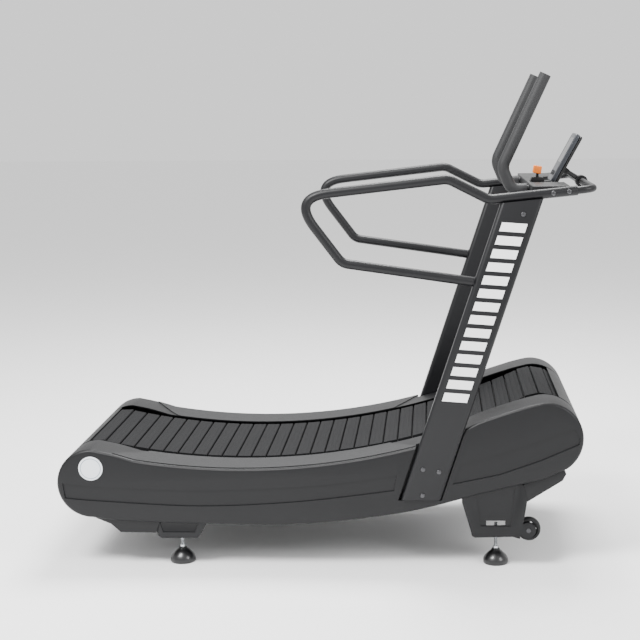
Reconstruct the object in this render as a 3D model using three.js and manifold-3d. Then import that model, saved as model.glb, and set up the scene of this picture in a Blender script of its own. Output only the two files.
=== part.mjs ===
// Curved manual treadmill. Millimetres, +X to the front, +Y to the runner's left, +Z up, floor at z = 0.
import * as THREE from "three";
import { mergeVertices } from "three/addons/utils/BufferGeometryUtils.js";
import Module from "manifold-3d";

const wasm = await Module();
wasm.setup();

// ---- driving sizes -------------------------------------------------------------------------
const GAP = 0.3; // between pieces that touch
const RUN_RADIUS = 2290; // the curve that the runner runs on
const RUN_LOW_X = -280; // where that curve is lowest
const RUN_LOW_Z = 343;
const BELT_WIDTH = 474;
const BELT_THICKNESS = 22;
const SLAT_PITCH = 51.5;
const SLAT_GROOVE = 5;
const SLAT_GROOVE_DEPTH = 12;
const LOWER_RUN_RADIUS = 4200; // sag of the returning belt
const FRONT_DRUM_X = 735;
const FRONT_BEND_RADIUS = 122; // outside of the belt round the front drum
const REAR_DRUM_X = -795;
const REAR_BEND_RADIUS = 96;
const DRUM_WIDTH = 450;
const AXLE_RADIUS = 12.5;
const COVER_INNER_Y = 262; // distances from the middle plane
const COVER_OUTER_Y = 415;
const COVER_WALL = 3;
const COVER_SIDE_WALL = 6;
const COVER_EDGE = 8;
const TREAD_Y = [272, 402];
const TREAD_THICKNESS = 2.5;
const RAIL_INNER_Y = 285;
const RAIL_THICKNESS = 10;
const RAIL_TOP_DEPTH = 40; // below the running surface
const RAIL_BOTTOM_DEPTH = 130;
const ROLLER_RAIL_Y = [185, 222];
const CROSS_SIZE = 50;
const UPRIGHT_WIDTH = 127;
const UPRIGHT_THICKNESS = 44;
const UPRIGHT_WALL = 3;
const UPRIGHT_Y = 403;
const UPRIGHT_FOOT = { x: 328, z: 240 };
const UPRIGHT_TILT = THREE.MathUtils.degToRad(18.2);
const HANDRAIL_RADIUS = 16;
const CROSS_TUBE_RADIUS = 12.5;
const CROSS_TUBE_INSERT = 90;
const HANDLE_Y = 230;
const HANDLE_RADIUS = 12.5;
const GRIP_RADIUS = 19.5;
const LEG_Y = [RAIL_INNER_Y + RAIL_THICKNESS + 1, 405];
const LEG_WALL = 4;
const FOOT_Y = 345;
const FRONT_FOOT_X = 582;
const REAR_FOOT_X = -492;
const PAD_RADIUS = 43;
const PAD_HEIGHT = 50;
const PAD_SEGMENTS = 18;
const STUD_RADIUS = 6;
const WHEEL = { x: 691, z: 131, radius: 40, width: 28 };
const DISPLAY = { width: 150, height: 186, depth: 26, tilt: THREE.MathUtils.degToRad(28.5) };
const DISPLAY_CENTRE = { x: 831, z: 1356 };
const BUTTON_RADIUS = 9;
const CONSOLE = { x: [690, 815], z: [1250, 1284] };

// ---- places worked out from them -----------------------------------------------------------
const HALF_TURN = Math.PI;
const runCentre = { x: RUN_LOW_X, z: RUN_LOW_Z + RUN_RADIUS };
const drumBelowRun = (x, radius) =>
  runCentre.z - Math.sqrt((RUN_RADIUS + radius) ** 2 - (x - runCentre.x) ** 2);
const drumAt = (x, r) => ({ x, z: drumBelowRun(x, r), r });
const frontDrum = drumAt(FRONT_DRUM_X, FRONT_BEND_RADIUS);
const rearDrum = drumAt(REAR_DRUM_X, REAR_BEND_RADIUS);
const frontNose = { x: frontDrum.x + 10, z: frontDrum.z + 2, r: FRONT_BEND_RADIUS + 2 };
const rearNose = { x: rearDrum.x + 11, z: rearDrum.z - 13, r: REAR_BEND_RADIUS + 22 };
const runHeight = (x, depth = 0) =>
  runCentre.z - Math.sqrt((RUN_RADIUS + depth) ** 2 - (x - runCentre.x) ** 2);
const point2 = (x, z) => new THREE.Vector2(x, z);
const point3 = (x, y, z) => new THREE.Vector3(x, y, z);

// ---- solids --------------------------------------------------------------------------------
function solidOf(geometry) {
  geometry.deleteAttribute("normal");
  geometry.deleteAttribute("uv");
  const merged = mergeVertices(geometry, 1e-4);
  return new wasm.Manifold(new wasm.Mesh({
    numProp: 3,
    vertProperties: Float32Array.from(merged.attributes.position.array),
    triVerts: Uint32Array.from(merged.index.array),
  }));
}

function geometryOf(solid) {
  const mesh = solid.getMesh();
  const geometry = new THREE.BufferGeometry();
  geometry.setAttribute("position", new THREE.BufferAttribute(mesh.vertProperties.slice(), 3));
  geometry.setIndex(new THREE.BufferAttribute(mesh.triVerts.slice(), 1));
  return geometry;
}

function extrude(shape, depth, bevel = 0, curveSegments = 12) {
  return new THREE.ExtrudeGeometry(shape, {
    depth: depth - 2 * bevel, bevelEnabled: bevel > 0, bevelThickness: bevel, bevelSize: bevel,
    bevelOffset: -bevel, bevelSegments: 2, curveSegments,
  }).translate(0, 0, bevel);
}

// An outline in x and z, made solid from y = low to y = high.
function slab(shape, low, high, bevel = 0, curveSegments = 12) {
  const turned = extrude(shape, high - low, bevel, curveSegments).rotateX(HALF_TURN / 2);
  return solidOf(turned.translate(0, high, 0));
}

// The same on the runner's right, between two distances from the middle plane.
const sideSlab = (shape, near, far, bevel = 0, segments = 12) =>
  slab(shape, -far, -near, bevel, segments);

const outline = (...corners) => new THREE.Shape(corners.map(([x, z]) => point2(x, z)));

function disc(x, z, radius, segments = 24) {
  const corners = Array.from({ length: segments }, (_, i) => {
    const turn = (2 * HALF_TURN * i) / segments;
    return [x + radius * Math.cos(turn), z + radius * Math.sin(turn)];
  });
  return outline(...corners);
}

function roundedRect(width, height, radius) {
  const [w, h] = [width / 2, height / 2];
  const shape = new THREE.Shape();
  shape.absarc(w - radius, h - radius, radius, 0, HALF_TURN / 2);
  shape.absarc(radius - w, h - radius, radius, HALF_TURN / 2, HALF_TURN);
  shape.absarc(radius - w, radius - h, radius, HALF_TURN, 1.5 * HALF_TURN);
  shape.absarc(w - radius, radius - h, radius, 1.5 * HALF_TURN, 2 * HALF_TURN);
  shape.closePath();
  return shape;
}

// A solid of revolution about the Y axis at (x, z), from [radius, y] pairs.
function turned(x, z, profile, segments = 40) {
  const lathe = new THREE.LatheGeometry(profile.map(([r, y]) => point2(r, y)), segments);
  return solidOf(lathe).translate([x, 0, z]);
}

const ring = (x, z, inner, outer, low, high, segments = 24) =>
  turned(x, z, [[inner, low], [outer, low], [outer, high], [inner, high], [inner, low]], segments);
const rod = (x, z, radius, low, high, segments = 18) =>
  turned(x, z, [[0, low], [radius, low], [radius, high], [0, high]], segments);

// A centreline through corners, each rounded to its own bend radius.
function bentPath(corners, bends) {
  const path = new THREE.CurvePath();
  let start = corners[0];
  for (let i = 1; i < corners.length - 1; i++) {
    const back = corners[i - 1].clone().sub(corners[i]).normalize();
    const on = corners[i + 1].clone().sub(corners[i]).normalize();
    const reach = bends[i - 1] / Math.tan(back.angleTo(on) / 2);
    const enter = corners[i].clone().addScaledVector(back, reach);
    const leave = corners[i].clone().addScaledVector(on, reach);
    path.add(new THREE.LineCurve3(start, enter));
    path.add(new THREE.QuadraticBezierCurve3(enter, corners[i], leave));
    start = leave;
  }
  path.add(new THREE.LineCurve3(start, corners.at(-1)));
  return path;
}

function swept(path, radius, step = 26, sides = 12) {
  const section = disc(0, 0, radius, sides);
  const steps = Math.ceil(path.getLength() / step);
  return solidOf(new THREE.ExtrudeGeometry(section, { steps, extrudePath: path, bevelEnabled: false }));
}

const straightTube = (from, to, radius) => swept(bentPath([from, to], []), radius, 5000);
const mirrored = (solid) => solid.mirror([0, 1, 0]);
const sum = (...solids) => solids.reduce((whole, piece) => whole.add(piece));

// ---- materials -----------------------------------------------------------------------------
const material = (color, roughness, metalness) =>
  new THREE.MeshStandardMaterial({ color, roughness, metalness });
const plastic = material(0x3b3c3f, 0.6, 0);
const treadPlastic = material(0x46474a, 0.85, 0);
const paint = material(0x37383b, 0.45, 0.2);
const rubber = material(0x434446, 0.85, 0);
const foam = material(0x4a4b4e, 0.8, 0);
const steel = material(0xb9bcc0, 0.35, 1);
const glossBlack = material(0x141416, 0.15, 0);
const orange = material(0xf08a28, 0.4, 0);
const glass = material(0x202428, 0.1, 0);

const MIDDLE_SHIFT = -4; // puts the middle of the whole length at x = 0
const treadmill = new THREE.Group();
treadmill.position.x = MIDDLE_SHIFT;
function add(name, solid, look) {
  const mesh = new THREE.Mesh(geometryOf(solid), look);
  mesh.name = name;
  treadmill.add(mesh);
}
function addPair(name, solid, look) {
  add(`${name}_right`, solid, look);
  add(`${name}_left`, mirrored(solid), look);
}

// ---- the belt's path -----------------------------------------------------------------------
// The returning belt is an arc that touches both drums from below, so its centre is found from theirs.
function lowerCentre() {
  const [a, b] = [LOWER_RUN_RADIUS - rearDrum.r, LOWER_RUN_RADIUS - frontDrum.r];
  const [dx, dz] = [frontDrum.x - rearDrum.x, frontDrum.z - rearDrum.z];
  const span = Math.hypot(dx, dz);
  const along = (a * a - b * b + span * span) / (2 * span);
  const up = Math.sqrt(a * a - along * along);
  return { x: rearDrum.x + (dx * along - dz * up) / span, z: rearDrum.z + (dz * along + dx * up) / span };
}

const lower = lowerCentre();
const bearing = (from, to) => Math.atan2(to.z - from.z, to.x - from.x);
const runRear = bearing(runCentre, rearDrum);
const runFront = bearing(runCentre, frontDrum);
const lowFront = bearing(lower, frontDrum);
const lowRear = bearing(lower, rearDrum);
const beltArcs = [
  { c: runCentre, r: RUN_RADIUS, inward: 1, from: runRear, to: runFront },
  { c: frontDrum, r: frontDrum.r, inward: -1, from: runFront + HALF_TURN, to: lowFront },
  { c: lower, r: LOWER_RUN_RADIUS, inward: -1, from: lowFront, to: lowRear },
  { c: rearDrum, r: rearDrum.r, inward: -1, from: lowRear, to: runRear - HALF_TURN },
].map((arc) => ({ ...arc, length: arc.r * Math.abs(arc.to - arc.from) }));
const beltLength = beltArcs.reduce((total, arc) => total + arc.length, 0);
const slatCount = Math.round(beltLength / SLAT_PITCH);
const slatPitch = beltLength / slatCount;

// A place on the belt's path: how far along, and how deep below its outer face.
function beltPoint(distance, depth) {
  let left = ((distance % beltLength) + beltLength) % beltLength;
  for (const arc of beltArcs) {
    if (left <= arc.length || arc === beltArcs.at(-1)) {
      const angle = arc.from + ((arc.to - arc.from) * left) / arc.length;
      const radius = arc.r + arc.inward * depth;
      return point2(arc.c.x + radius * Math.cos(angle), arc.c.z + radius * Math.sin(angle));
    }
    left -= arc.length;
  }
  return null;
}

function slatBelt() {
  const outer = [];
  const inner = [];
  for (let i = 0; i < slatCount; i++) {
    const start = i * slatPitch;
    outer.push(beltPoint(start, 0), beltPoint(start, SLAT_GROOVE_DEPTH));
    outer.push(beltPoint(start + SLAT_GROOVE, SLAT_GROOVE_DEPTH), beltPoint(start + SLAT_GROOVE, 0));
    for (let j = 0; j < 2; j++) inner.push(beltPoint(start + (slatPitch * j) / 2, BELT_THICKNESS));
  }
  const shape = new THREE.Shape(outer.reverse());
  shape.holes.push(new THREE.Path(inner));
  return slab(shape, -BELT_WIDTH / 2, BELT_WIDTH / 2);
}

// ---- frame ---------------------------------------------------------------------------------
// A strip that follows the running curve between two depths below it.
function runStrip(rearX, frontX, top, bottom) {
  const angleAt = (x, depth) => -Math.acos((x - runCentre.x) / (RUN_RADIUS + depth));
  const shape = new THREE.Shape();
  shape.absarc(runCentre.x, runCentre.z, RUN_RADIUS + bottom, angleAt(rearX, bottom), angleAt(frontX, bottom));
  shape.absarc(runCentre.x, runCentre.z, RUN_RADIUS + top, angleAt(frontX, top), angleAt(rearX, top), true);
  shape.closePath();
  return shape;
}

const RAIL_OUTER_Y = RAIL_INNER_Y + RAIL_THICKNESS;
const uprightShift = (z) => (z - UPRIGHT_FOOT.z) * Math.tan(UPRIGHT_TILT);

function frameRail() {
  const strip = sideSlab(runStrip(REAR_DRUM_X, FRONT_DRUM_X, RAIL_TOP_DEPTH, RAIL_BOTTOM_DEPTH),
    RAIL_INNER_Y, RAIL_OUTER_Y, 0, 13);
  const drums = [frontDrum, rearDrum];
  const ends = drums.map((at) => sideSlab(disc(at.x, at.z, 62), RAIL_INNER_Y, RAIL_OUTER_Y));
  const holes = drums.map((at) => sideSlab(disc(at.x, at.z, 18), 0, 500));
  const [low, high] = [UPRIGHT_FOOT.z + 15, UPRIGHT_FOOT.z + 110];
  const [x0, x1] = [UPRIGHT_FOOT.x + uprightShift(low), UPRIGHT_FOOT.x + uprightShift(high)];
  const half = 55;
  const block = outline([x0 - half, low], [x0 + half, low], [x1 + half, high], [x1 - half, high]);
  const mount = sideSlab(block, RAIL_OUTER_Y - 5, UPRIGHT_Y - UPRIGHT_THICKNESS / 2 - GAP);
  return sum(strip, ...ends, mount).subtract(sum(...holes));
}

function crossmember(x) {
  const turn = Math.asin((x - runCentre.x) / (RUN_RADIUS + (RAIL_TOP_DEPTH + RAIL_BOTTOM_DEPTH) / 2));
  const height = runHeight(x, (RAIL_TOP_DEPTH + RAIL_BOTTOM_DEPTH) / 2);
  const tube = roundedRect(CROSS_SIZE, CROSS_SIZE, 5);
  tube.holes.push(new THREE.Path(roundedRect(CROSS_SIZE - 6, CROSS_SIZE - 6, 2).getPoints(1)));
  const length = 2 * (RAIL_INNER_Y - GAP);
  return solidOf(extrude(tube, length, 0, 2).rotateX(HALF_TURN / 2).translate(0, length / 2, 0)
    .rotateY(-turn).translate(x, 0, height));
}

function rollerRail() {
  const bottom = (RAIL_TOP_DEPTH + RAIL_BOTTOM_DEPTH - CROSS_SIZE) / 2 - GAP;
  return sideSlab(runStrip(REAR_DRUM_X + 105, FRONT_DRUM_X - 115, BELT_THICKNESS + 1, bottom),
    ROLLER_RAIL_Y[0], ROLLER_RAIL_Y[1], 0, 13);
}

// ---- covers --------------------------------------------------------------------------------
// The side cover's outline. A negative grow gives the hollow inside it.
function coverOutline(grow = 0) {
  const shape = new THREE.Shape();
  const humpFoot = UPRIGHT_FOOT.x + 140;
  const humpAngle = 1.75;
  const topRadius = RUN_RADIUS - grow;
  const topAngle = (x) => -Math.acos((x - runCentre.x) / topRadius);
  shape.absarc(rearNose.x, rearNose.z, rearNose.r + grow, HALF_TURN / 2, 1.5 * HALF_TURN);
  const bottom = [[-690, 161], [-400, 151], [-80, 151], [257, 190], [525, 257], [735, 308]];
  shape.splineThru(bottom.map(([x, z]) => point2(x, z - grow)));
  shape.absarc(frontNose.x, frontNose.z, frontNose.r + grow, -0.95, humpAngle);
  const x = frontNose.x + frontNose.r * Math.cos(humpAngle);
  const z = frontNose.z + frontNose.r * Math.sin(humpAngle);
  shape.splineThru([point2(x - 68, z - 18 + grow), point2(x - 197, z - 62 + grow),
    point2(humpFoot + 8, runHeight(humpFoot) + 12 + grow)]);
  shape.absarc(runCentre.x, runCentre.z, topRadius, topAngle(humpFoot), topAngle(-640), true);
  shape.splineThru([point2(-716, 394 + grow), point2(rearNose.x, rearNose.z + rearNose.r + grow)]);
  return shape;
}

const REAR_POCKET_GAP = 9;
const FRONT_POCKET_GAP = 3;
function uprightPocket(extra = 0) {
  const half = UPRIGHT_WIDTH / Math.cos(UPRIGHT_TILT) / 2;
  const [low, high] = [UPRIGHT_FOOT.z - 3, UPRIGHT_FOOT.z + 320];
  const corner = (z, offset) => [UPRIGHT_FOOT.x + uprightShift(z) + offset, z];
  const [rear, front] = [-half - REAR_POCKET_GAP - extra, half + FRONT_POCKET_GAP + extra];
  return outline(corner(low, rear), corner(low, front), corner(high, front), corner(high, rear));
}

// Two bands, sunk into the cover's outer face.
function rearStripe() {
  const shape = new THREE.Shape();
  shape.moveTo(-875, 240);
  shape.splineThru([point2(-756, 230), point2(-417, 214), point2(-78, 231), point2(238, 270)]);
  shape.lineTo(248, 324);
  shape.splineThru([point2(91, 301), point2(-78, 283), point2(-415, 269), point2(-720, 279), point2(-884, 292)]);
  return shape;
}
function frontStripe() {
  return outline([435, 293], [591, 326], [724, 373], [853, 430], [839, 484], [821, 482], [723, 443],
    [591, 398], [458, 362]);
}

function sideCover(leg, bracket) {
  const body = sideSlab(coverOutline(), COVER_INNER_Y - 2 * COVER_EDGE, COVER_OUTER_Y, COVER_EDGE, 6)
    .trimByPlane([0, -1, 0], COVER_INNER_Y);
  const hollow = sideSlab(coverOutline(-COVER_WALL), 0, COVER_OUTER_Y - COVER_SIDE_WALL, 0, 6);
  const pocket = sideSlab(uprightPocket(), UPRIGHT_Y - UPRIGHT_THICKNESS / 2 - 11, 500);
  const stripes = [rearStripe(), frontStripe()].map((s) => sideSlab(s, COVER_OUTER_Y - 2.5, 500));
  return body.subtract(sum(hollow, pocket, ...stripes)).subtract(sum(leg, bracket));
}

function stepTread() {
  const skin = (grow) => sideSlab(coverOutline(grow), TREAD_Y[0], TREAD_Y[1], 0, 6);
  const pocket = sideSlab(uprightPocket(1), UPRIGHT_Y - UPRIGHT_THICKNESS / 2 - 12, 500);
  const skew = (x, side, shear) => {
    const block = sideSlab(outline([0, 0], [side * 900, 0], [side * 900, 900], [0, 900]), 0, 600);
    return block.transform([1, 0, 0, 0, shear, 1, 0, 0, 0, 0, 1, 0, x, 0, 0, 1]);
  };
  return skin(GAP + TREAD_THICKNESS).subtract(sum(skin(GAP), pocket, skew(-390, -1, 0.8), skew(30, 1, -0.7)))
    .trimByPlane([0, 0, 1], RUN_LOW_Z - 60);
}

function hood(nose, wall, from, to) {
  const shape = new THREE.Shape();
  shape.absarc(nose.x, nose.z, nose.r, from, to);
  shape.absarc(nose.x, nose.z, nose.r - wall, to, from, true);
  shape.closePath();
  const half = COVER_INNER_Y - 0.5;
  return slab(shape, -half, half, 0, 16);
}

// A belly pan is a tray that hangs under both side covers.
function bellyPan(outer, inner) {
  const half = COVER_OUTER_Y - 12;
  const covers = slab(coverOutline(0.6), -500, 500, 0, 6);
  return slab(outline(...outer), -half, half).subtract(slab(outline(...inner), -half + 3, half - 3))
    .subtract(covers);
}

// ---- legs and feet -------------------------------------------------------------------------
const studHole = (x, low, high) => rodZ(x, -FOOT_Y, STUD_RADIUS + 0.6, low, high);
function rodZ(x, y, radius, low, high, segments = 14) {
  return solidOf(extrude(disc(0, 0, radius, segments), high - low).translate(x, y, low));
}

const LEG_CORNERS = [[465, 229], [496, 125], [512, 106], [636, 109], [660, 102], [674, 171], [684, 237],
  [672, 285], [620, 330], [620, 400], [500, 400]];
function frontLeg() {
  const [near, far] = LEG_Y;
  const inner = outline([472, 229], [503, 127], [516, 112], [632, 115], [654, 110], [667, 171],
    [677, 237], [653, 410], [507, 410]);
  const earY = [far - 10, far];
  const pin = rod(WHEEL.x, WHEEL.z, 6, -far + 2, -(far - 52));
  const innerEar = outline([640, 112], [690, 116], [WHEEL.x + 14, WHEEL.z], [690, 146], [655, 165]);
  const arch = sideSlab(disc(WHEEL.x, WHEEL.z, WHEEL.radius + 4), far - 45, earY[0]);
  return sideSlab(outline(...LEG_CORNERS), near, far)
    .subtract(sideSlab(inner, near + LEG_WALL, far - 7))
    .add(sideSlab(disc(WHEEL.x - 4, WHEEL.z, 27), ...earY))
    .subtract(arch)
    .add(sideSlab(innerEar, far - 54, far - 45))
    .add(pin)
    .subtract(sum(
      sideSlab(outline([500, 250], [529, 146], [629, 145], [645, 275]), far - 3, far + 9),
      sideSlab(outline([547, 147], [611, 147], [611, 164], [547, 164]), 0, 500),
      studHole(FRONT_FOOT_X, 90, 125)));
}

function rearBracket() {
  const [near, far] = [LEG_Y[0], LEG_Y[1] - 8];
  const outer = outline([-582, 160], [-565, 104], [-553, 96], [-434, 96], [-424, 104], [-398, 152],
    [-400, 290], [-580, 290]);
  const inner = outline([-577, 160], [-560, 106], [-550, 101], [-438, 101], [-429, 107], [-403, 153],
    [-405, 300], [-575, 300]);
  return sideSlab(outer, near, far).subtract(sideSlab(inner, near + LEG_WALL, far - LEG_WALL))
    .subtract(studHole(REAR_FOOT_X, 80, 120));
}

function footPad(x) {
  const profile = [[0, 0], [PAD_RADIUS, 0], [PAD_RADIUS, 8], [PAD_RADIUS - 3, 17],
    [PAD_RADIUS - 11, 27], [24, 37], [16, 44], [13, PAD_HEIGHT], [0, PAD_HEIGHT]];
  const lathe = new THREE.LatheGeometry(profile.map(([r, z]) => point2(r, z)), PAD_SEGMENTS);
  return solidOf(lathe.rotateX(HALF_TURN / 2).translate(x, -FOOT_Y, 0));
}

function footStud(x, underside) {
  const nut = rodZ(x, -FOOT_Y, 11, underside - 14, underside - 4, 6);
  const flats = rodZ(x, -FOOT_Y, 10, PAD_HEIGHT + GAP, PAD_HEIGHT + 9, 6);
  return sum(rodZ(x, -FOOT_Y, STUD_RADIUS, PAD_HEIGHT + GAP, underside + 34), nut, flats);
}

function transportWheel() {
  const [near, far] = [LEG_Y[1] - 12 - WHEEL.width, LEG_Y[1] - 12];
  return ring(WHEEL.x, WHEEL.z, 6.3, WHEEL.radius, -far, -near);
}

// ---- uprights, rails and handles -----------------------------------------------------------
const railCorners = (y) => [[835, 1271], [550, 1242], [417, 1309], [-91, 1251], [71, 1036], [530, 970]]
  .map(([x, z]) => point3(x, y, z));
const handrailPath = bentPath(railCorners(-UPRIGHT_Y), [60, 60, 70, 50]);
const railRise = (1271 - 1242) / (835 - 550);
const railHeight = (x) => 1271 + (x - 835) * railRise;
const handrailSolid = (extra) => swept(handrailPath, HANDRAIL_RADIUS + extra);

function uprightSolid(grow) {
  const section = roundedRect(UPRIGHT_WIDTH + 2 * grow, UPRIGHT_THICKNESS + 2 * grow, 12 + grow);
  return solidOf(extrude(section, 1200, 0, 3).rotateY(UPRIGHT_TILT)
    .translate(UPRIGHT_FOOT.x - 20 * Math.tan(UPRIGHT_TILT), -UPRIGHT_Y, UPRIGHT_FOOT.z - 20));
}

function upright() {
  const section = roundedRect(UPRIGHT_WIDTH - 2 * UPRIGHT_WALL, UPRIGHT_THICKNESS - 2 * UPRIGHT_WALL, 9);
  const inside = solidOf(extrude(section, 1030, 0, 3).rotateY(UPRIGHT_TILT)
    .translate(UPRIGHT_FOOT.x - 30 * Math.tan(UPRIGHT_TILT), -UPRIGHT_Y, UPRIGHT_FOOT.z - 30));
  const top = railHeight(0) - HANDRAIL_RADIUS + 2;
  const down = point3(railRise, 0, -1).normalize();
  return uprightSolid(0).trimByPlane([0, 0, 1], UPRIGHT_FOOT.z)
    .trimByPlane(down.toArray(), -top / Math.hypot(1, railRise))
    .subtract(sum(inside, handrailSolid(GAP)));
}

const crossTubePath = () => {
  const start = 835 - CROSS_TUBE_INSERT;
  const bend = 889;
  const corners = [point3(start, -UPRIGHT_Y, railHeight(start)), point3(bend, -UPRIGHT_Y, railHeight(bend)),
    point3(bend, UPRIGHT_Y, railHeight(bend)), point3(start, UPRIGHT_Y, railHeight(start))];
  return bentPath(corners, [45, 45]);
};

function handrail() {
  const start = 835 - CROSS_TUBE_INSERT - 10;
  const [from, to] = [start, 900].map((x) => point3(x, -UPRIGHT_Y, railHeight(x)));
  const bore = straightTube(from, to, CROSS_TUBE_RADIUS + 0.4);
  const post = uprightSolid(GAP).trimByPlane([0, 0, -1], -1200);
  return handrailSolid(0).subtract(sum(bore, post));
}

const HANDLE_CORNERS = [[738, 1637], [600, 1338], [632, 1262], [712, 1266]];
const handleCorners = (last) =>
  [...HANDLE_CORNERS.slice(0, 3), last].map(([x, z]) => point3(x, -HANDLE_Y, z));
const HANDLE_BENDS = [55, 40];
const handleCore = (extra) =>
  swept(bentPath(handleCorners(HANDLE_CORNERS[3]), HANDLE_BENDS), HANDLE_RADIUS + extra, 22);

function grip() {
  const end = 684;
  const endHeight = 1262 + (end - 632) * (4 / 80);
  const corners = handleCorners([end, endHeight]);
  const tip = corners[0].clone().sub(corners[1]).normalize();
  corners[0].addScaledVector(tip, 8);
  return swept(bentPath(corners, HANDLE_BENDS), GRIP_RADIUS, 22, 14).subtract(handleCore(GAP));
}

function consoleTray() {
  const { x, z } = CONSOLE;
  const half = UPRIGHT_Y - HANDRAIL_RADIUS - GAP;
  const section = outline([x[0], z[0] + 2], [x[0] + 6, z[0]], [x[1], z[0] + 10], [x[1], z[1]], [x[0], z[1]]);
  const body = slab(section, -half, half);
  const [dishRear, dishFront, dishFloor] = [x[0] + 62, x[1] - 8, z[1] - 12];
  const dishSection = outline([dishRear, dishFloor], [dishFront, dishFloor], [dishFront, z[1] + 9],
    [dishRear, z[1] + 9]);
  const dish = slab(dishSection, -170, 170);
  const room = slab(outline([742, 1200], [x[1] + 9, 1200], [x[1] + 9, 1300], [742, 1300]), -84, 84);
  const handles = handleCore(GAP);
  return body.subtract(sum(dish, room, handles, mirrored(handles)));
}

// ---- lever and brake -----------------------------------------------------------------------
const LEVER = { x: 724, z: 1288, y: -130 };
function leverHousing() {
  const top = 1300;
  const floor = CONSOLE.z[1] + GAP;
  const body = slab(outline([700, floor], [750, floor], [746, top], [704, top]), LEVER.y - 22, LEVER.y + 22);
  const slotSection = outline([708, floor - 9], [742, floor - 9], [742, top + 9], [708, top + 9]);
  const slot = slab(slotSection, LEVER.y - 6, LEVER.y + 6);
  return body.subtract(slot);
}
function resistanceLever() {
  const { x, z, y } = LEVER;
  return slab(outline([x - 5, z - 2], [x + 5, z - 2], [x + 7, 1326], [x - 1, 1326]), y - 4.5, y + 4.5);
}
function leverGrip() {
  const { x, y } = LEVER;
  const body = slab(outline([x - 9, 1308], [x + 13, 1308], [x + 13, 1330], [x - 9, 1332]), y - 15, y + 15);
  const { z } = LEVER;
  const socket = slab(outline([x - 5 - GAP, z - 2], [x + 5 + GAP, z - 2], [x + 7 + GAP, 1326 + GAP],
    [x - 1 - GAP, 1326 + GAP]), y - 4.5 - GAP, y + 4.5 + GAP);
  return body.subtract(socket);
}

const BRAKE_DISC = { radius: 95, y: [350, 358] };
const CARRIER_PIVOT = { x: frontDrum.x - 130, z: frontDrum.z - 15 };
function magnetCarrier() {
  const { x, z } = CARRIER_PIVOT;
  const armSection = outline([x - 14, z - 14], [x + 62, z - 14], [x + 62, z + 18], [x - 14, z + 18]);
  const arm = slab(armSection, 343, 365);
  const [near, far] = [BRAKE_DISC.y[0] - 2.5, BRAKE_DISC.y[1] + 2.5];
  const slot = ring(frontDrum.x, frontDrum.z, 1, BRAKE_DISC.radius + 8, near, far);
  return arm.subtract(slot).add(rod(x, z, 5, RAIL_OUTER_Y + GAP, 345));
}

// ---- display -------------------------------------------------------------------------------
// Built upright about its own middle: x through the thickness, runner's side negative.
function displaySlab(shape, low, high, bevel = 0) {
  const turn = new THREE.Matrix4().set(0, 0, 1, low, 1, 0, 0, 0, 0, 1, 0, 0, 0, 0, 0, 1);
  return solidOf(extrude(shape, high - low, bevel, 3).applyMatrix4(turn));
}
function placeDisplay(solid) {
  return solid.rotate([0, THREE.MathUtils.radToDeg(DISPLAY.tilt), 0])
    .translate([DISPLAY_CENTRE.x, 0, DISPLAY_CENTRE.z]);
}
const displayFace = -DISPLAY.depth / 2;
const windowSize = { width: 118, height: 96, up: 28 };
const shifted = (shape, dy, dz) =>
  new THREE.Shape(shape.getPoints(2).map((p) => point2(p.x + dy, p.y + dz)));
const buttonPlace = (i) => [(i - 1) * 40, -62];
const TILT_PIVOT = { x: -displayFace + 14, z: -36 };

function displayHousing() {
  const { width, height, depth } = DISPLAY;
  const body = displaySlab(roundedRect(width, height, 14), displayFace, depth / 2, 3);
  const window = displaySlab(shifted(roundedRect(windowSize.width, windowSize.height, 5), 0, windowSize.up),
    displayFace - 1, displayFace + 3);
  const bore = (i) =>
    displaySlab(disc(...buttonPlace(i), BUTTON_RADIUS + 0.4), displayFace - 1, displayFace + 6);
  const bores = [0, 1, 2].map(bore);
  const { x, z } = TILT_PIVOT;
  const ear = outline([depth / 2 - 2, z - 12], [x, z - 9], [x + 9, z], [x, z + 9], [depth / 2 - 2, z + 12]);
  const ears = [-17, 11].map((y) => slab(ear, y, y + 6));
  const holes = rod(x, z, 4.4, -20, 20);
  return body.subtract(sum(window, ...bores)).add(sum(...ears)).subtract(holes);
}
function displayWindow() {
  const { width, height, up } = windowSize;
  const pane = shifted(roundedRect(width - 2 * GAP, height - 2 * GAP, 5), 0, up);
  return displaySlab(pane, displayFace + 0.4, displayFace + 3 - GAP);
}
const displayButton = (i) =>
  displaySlab(disc(...buttonPlace(i), BUTTON_RADIUS), displayFace - 1.5, displayFace + 3.8);

function displayBracket() {
  const [sin, cos] = [Math.sin(DISPLAY.tilt), Math.cos(DISPLAY.tilt)];
  const pivot = { x: DISPLAY_CENTRE.x + TILT_PIVOT.x * cos + TILT_PIVOT.z * sin,
    z: DISPLAY_CENTRE.z - TILT_PIVOT.x * sin + TILT_PIVOT.z * cos };
  const clamp = { x: 889, z: railHeight(889) };
  const arm = straightTube(point3(pivot.x, 0, pivot.z), point3(clamp.x, 0, clamp.z), 8);
  const bore = rod(clamp.x, clamp.z, CROSS_TUBE_RADIUS + GAP + 0.1, -40, 40);
  const knuckle = rod(pivot.x, pivot.z, 9.5, -10, 10);
  const pin = rod(pivot.x, pivot.z, 4, -18, 18);
  return sum(arm, knuckle, pin, rod(clamp.x, clamp.z, 21, -22, 22)).subtract(bore);
}

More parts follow.
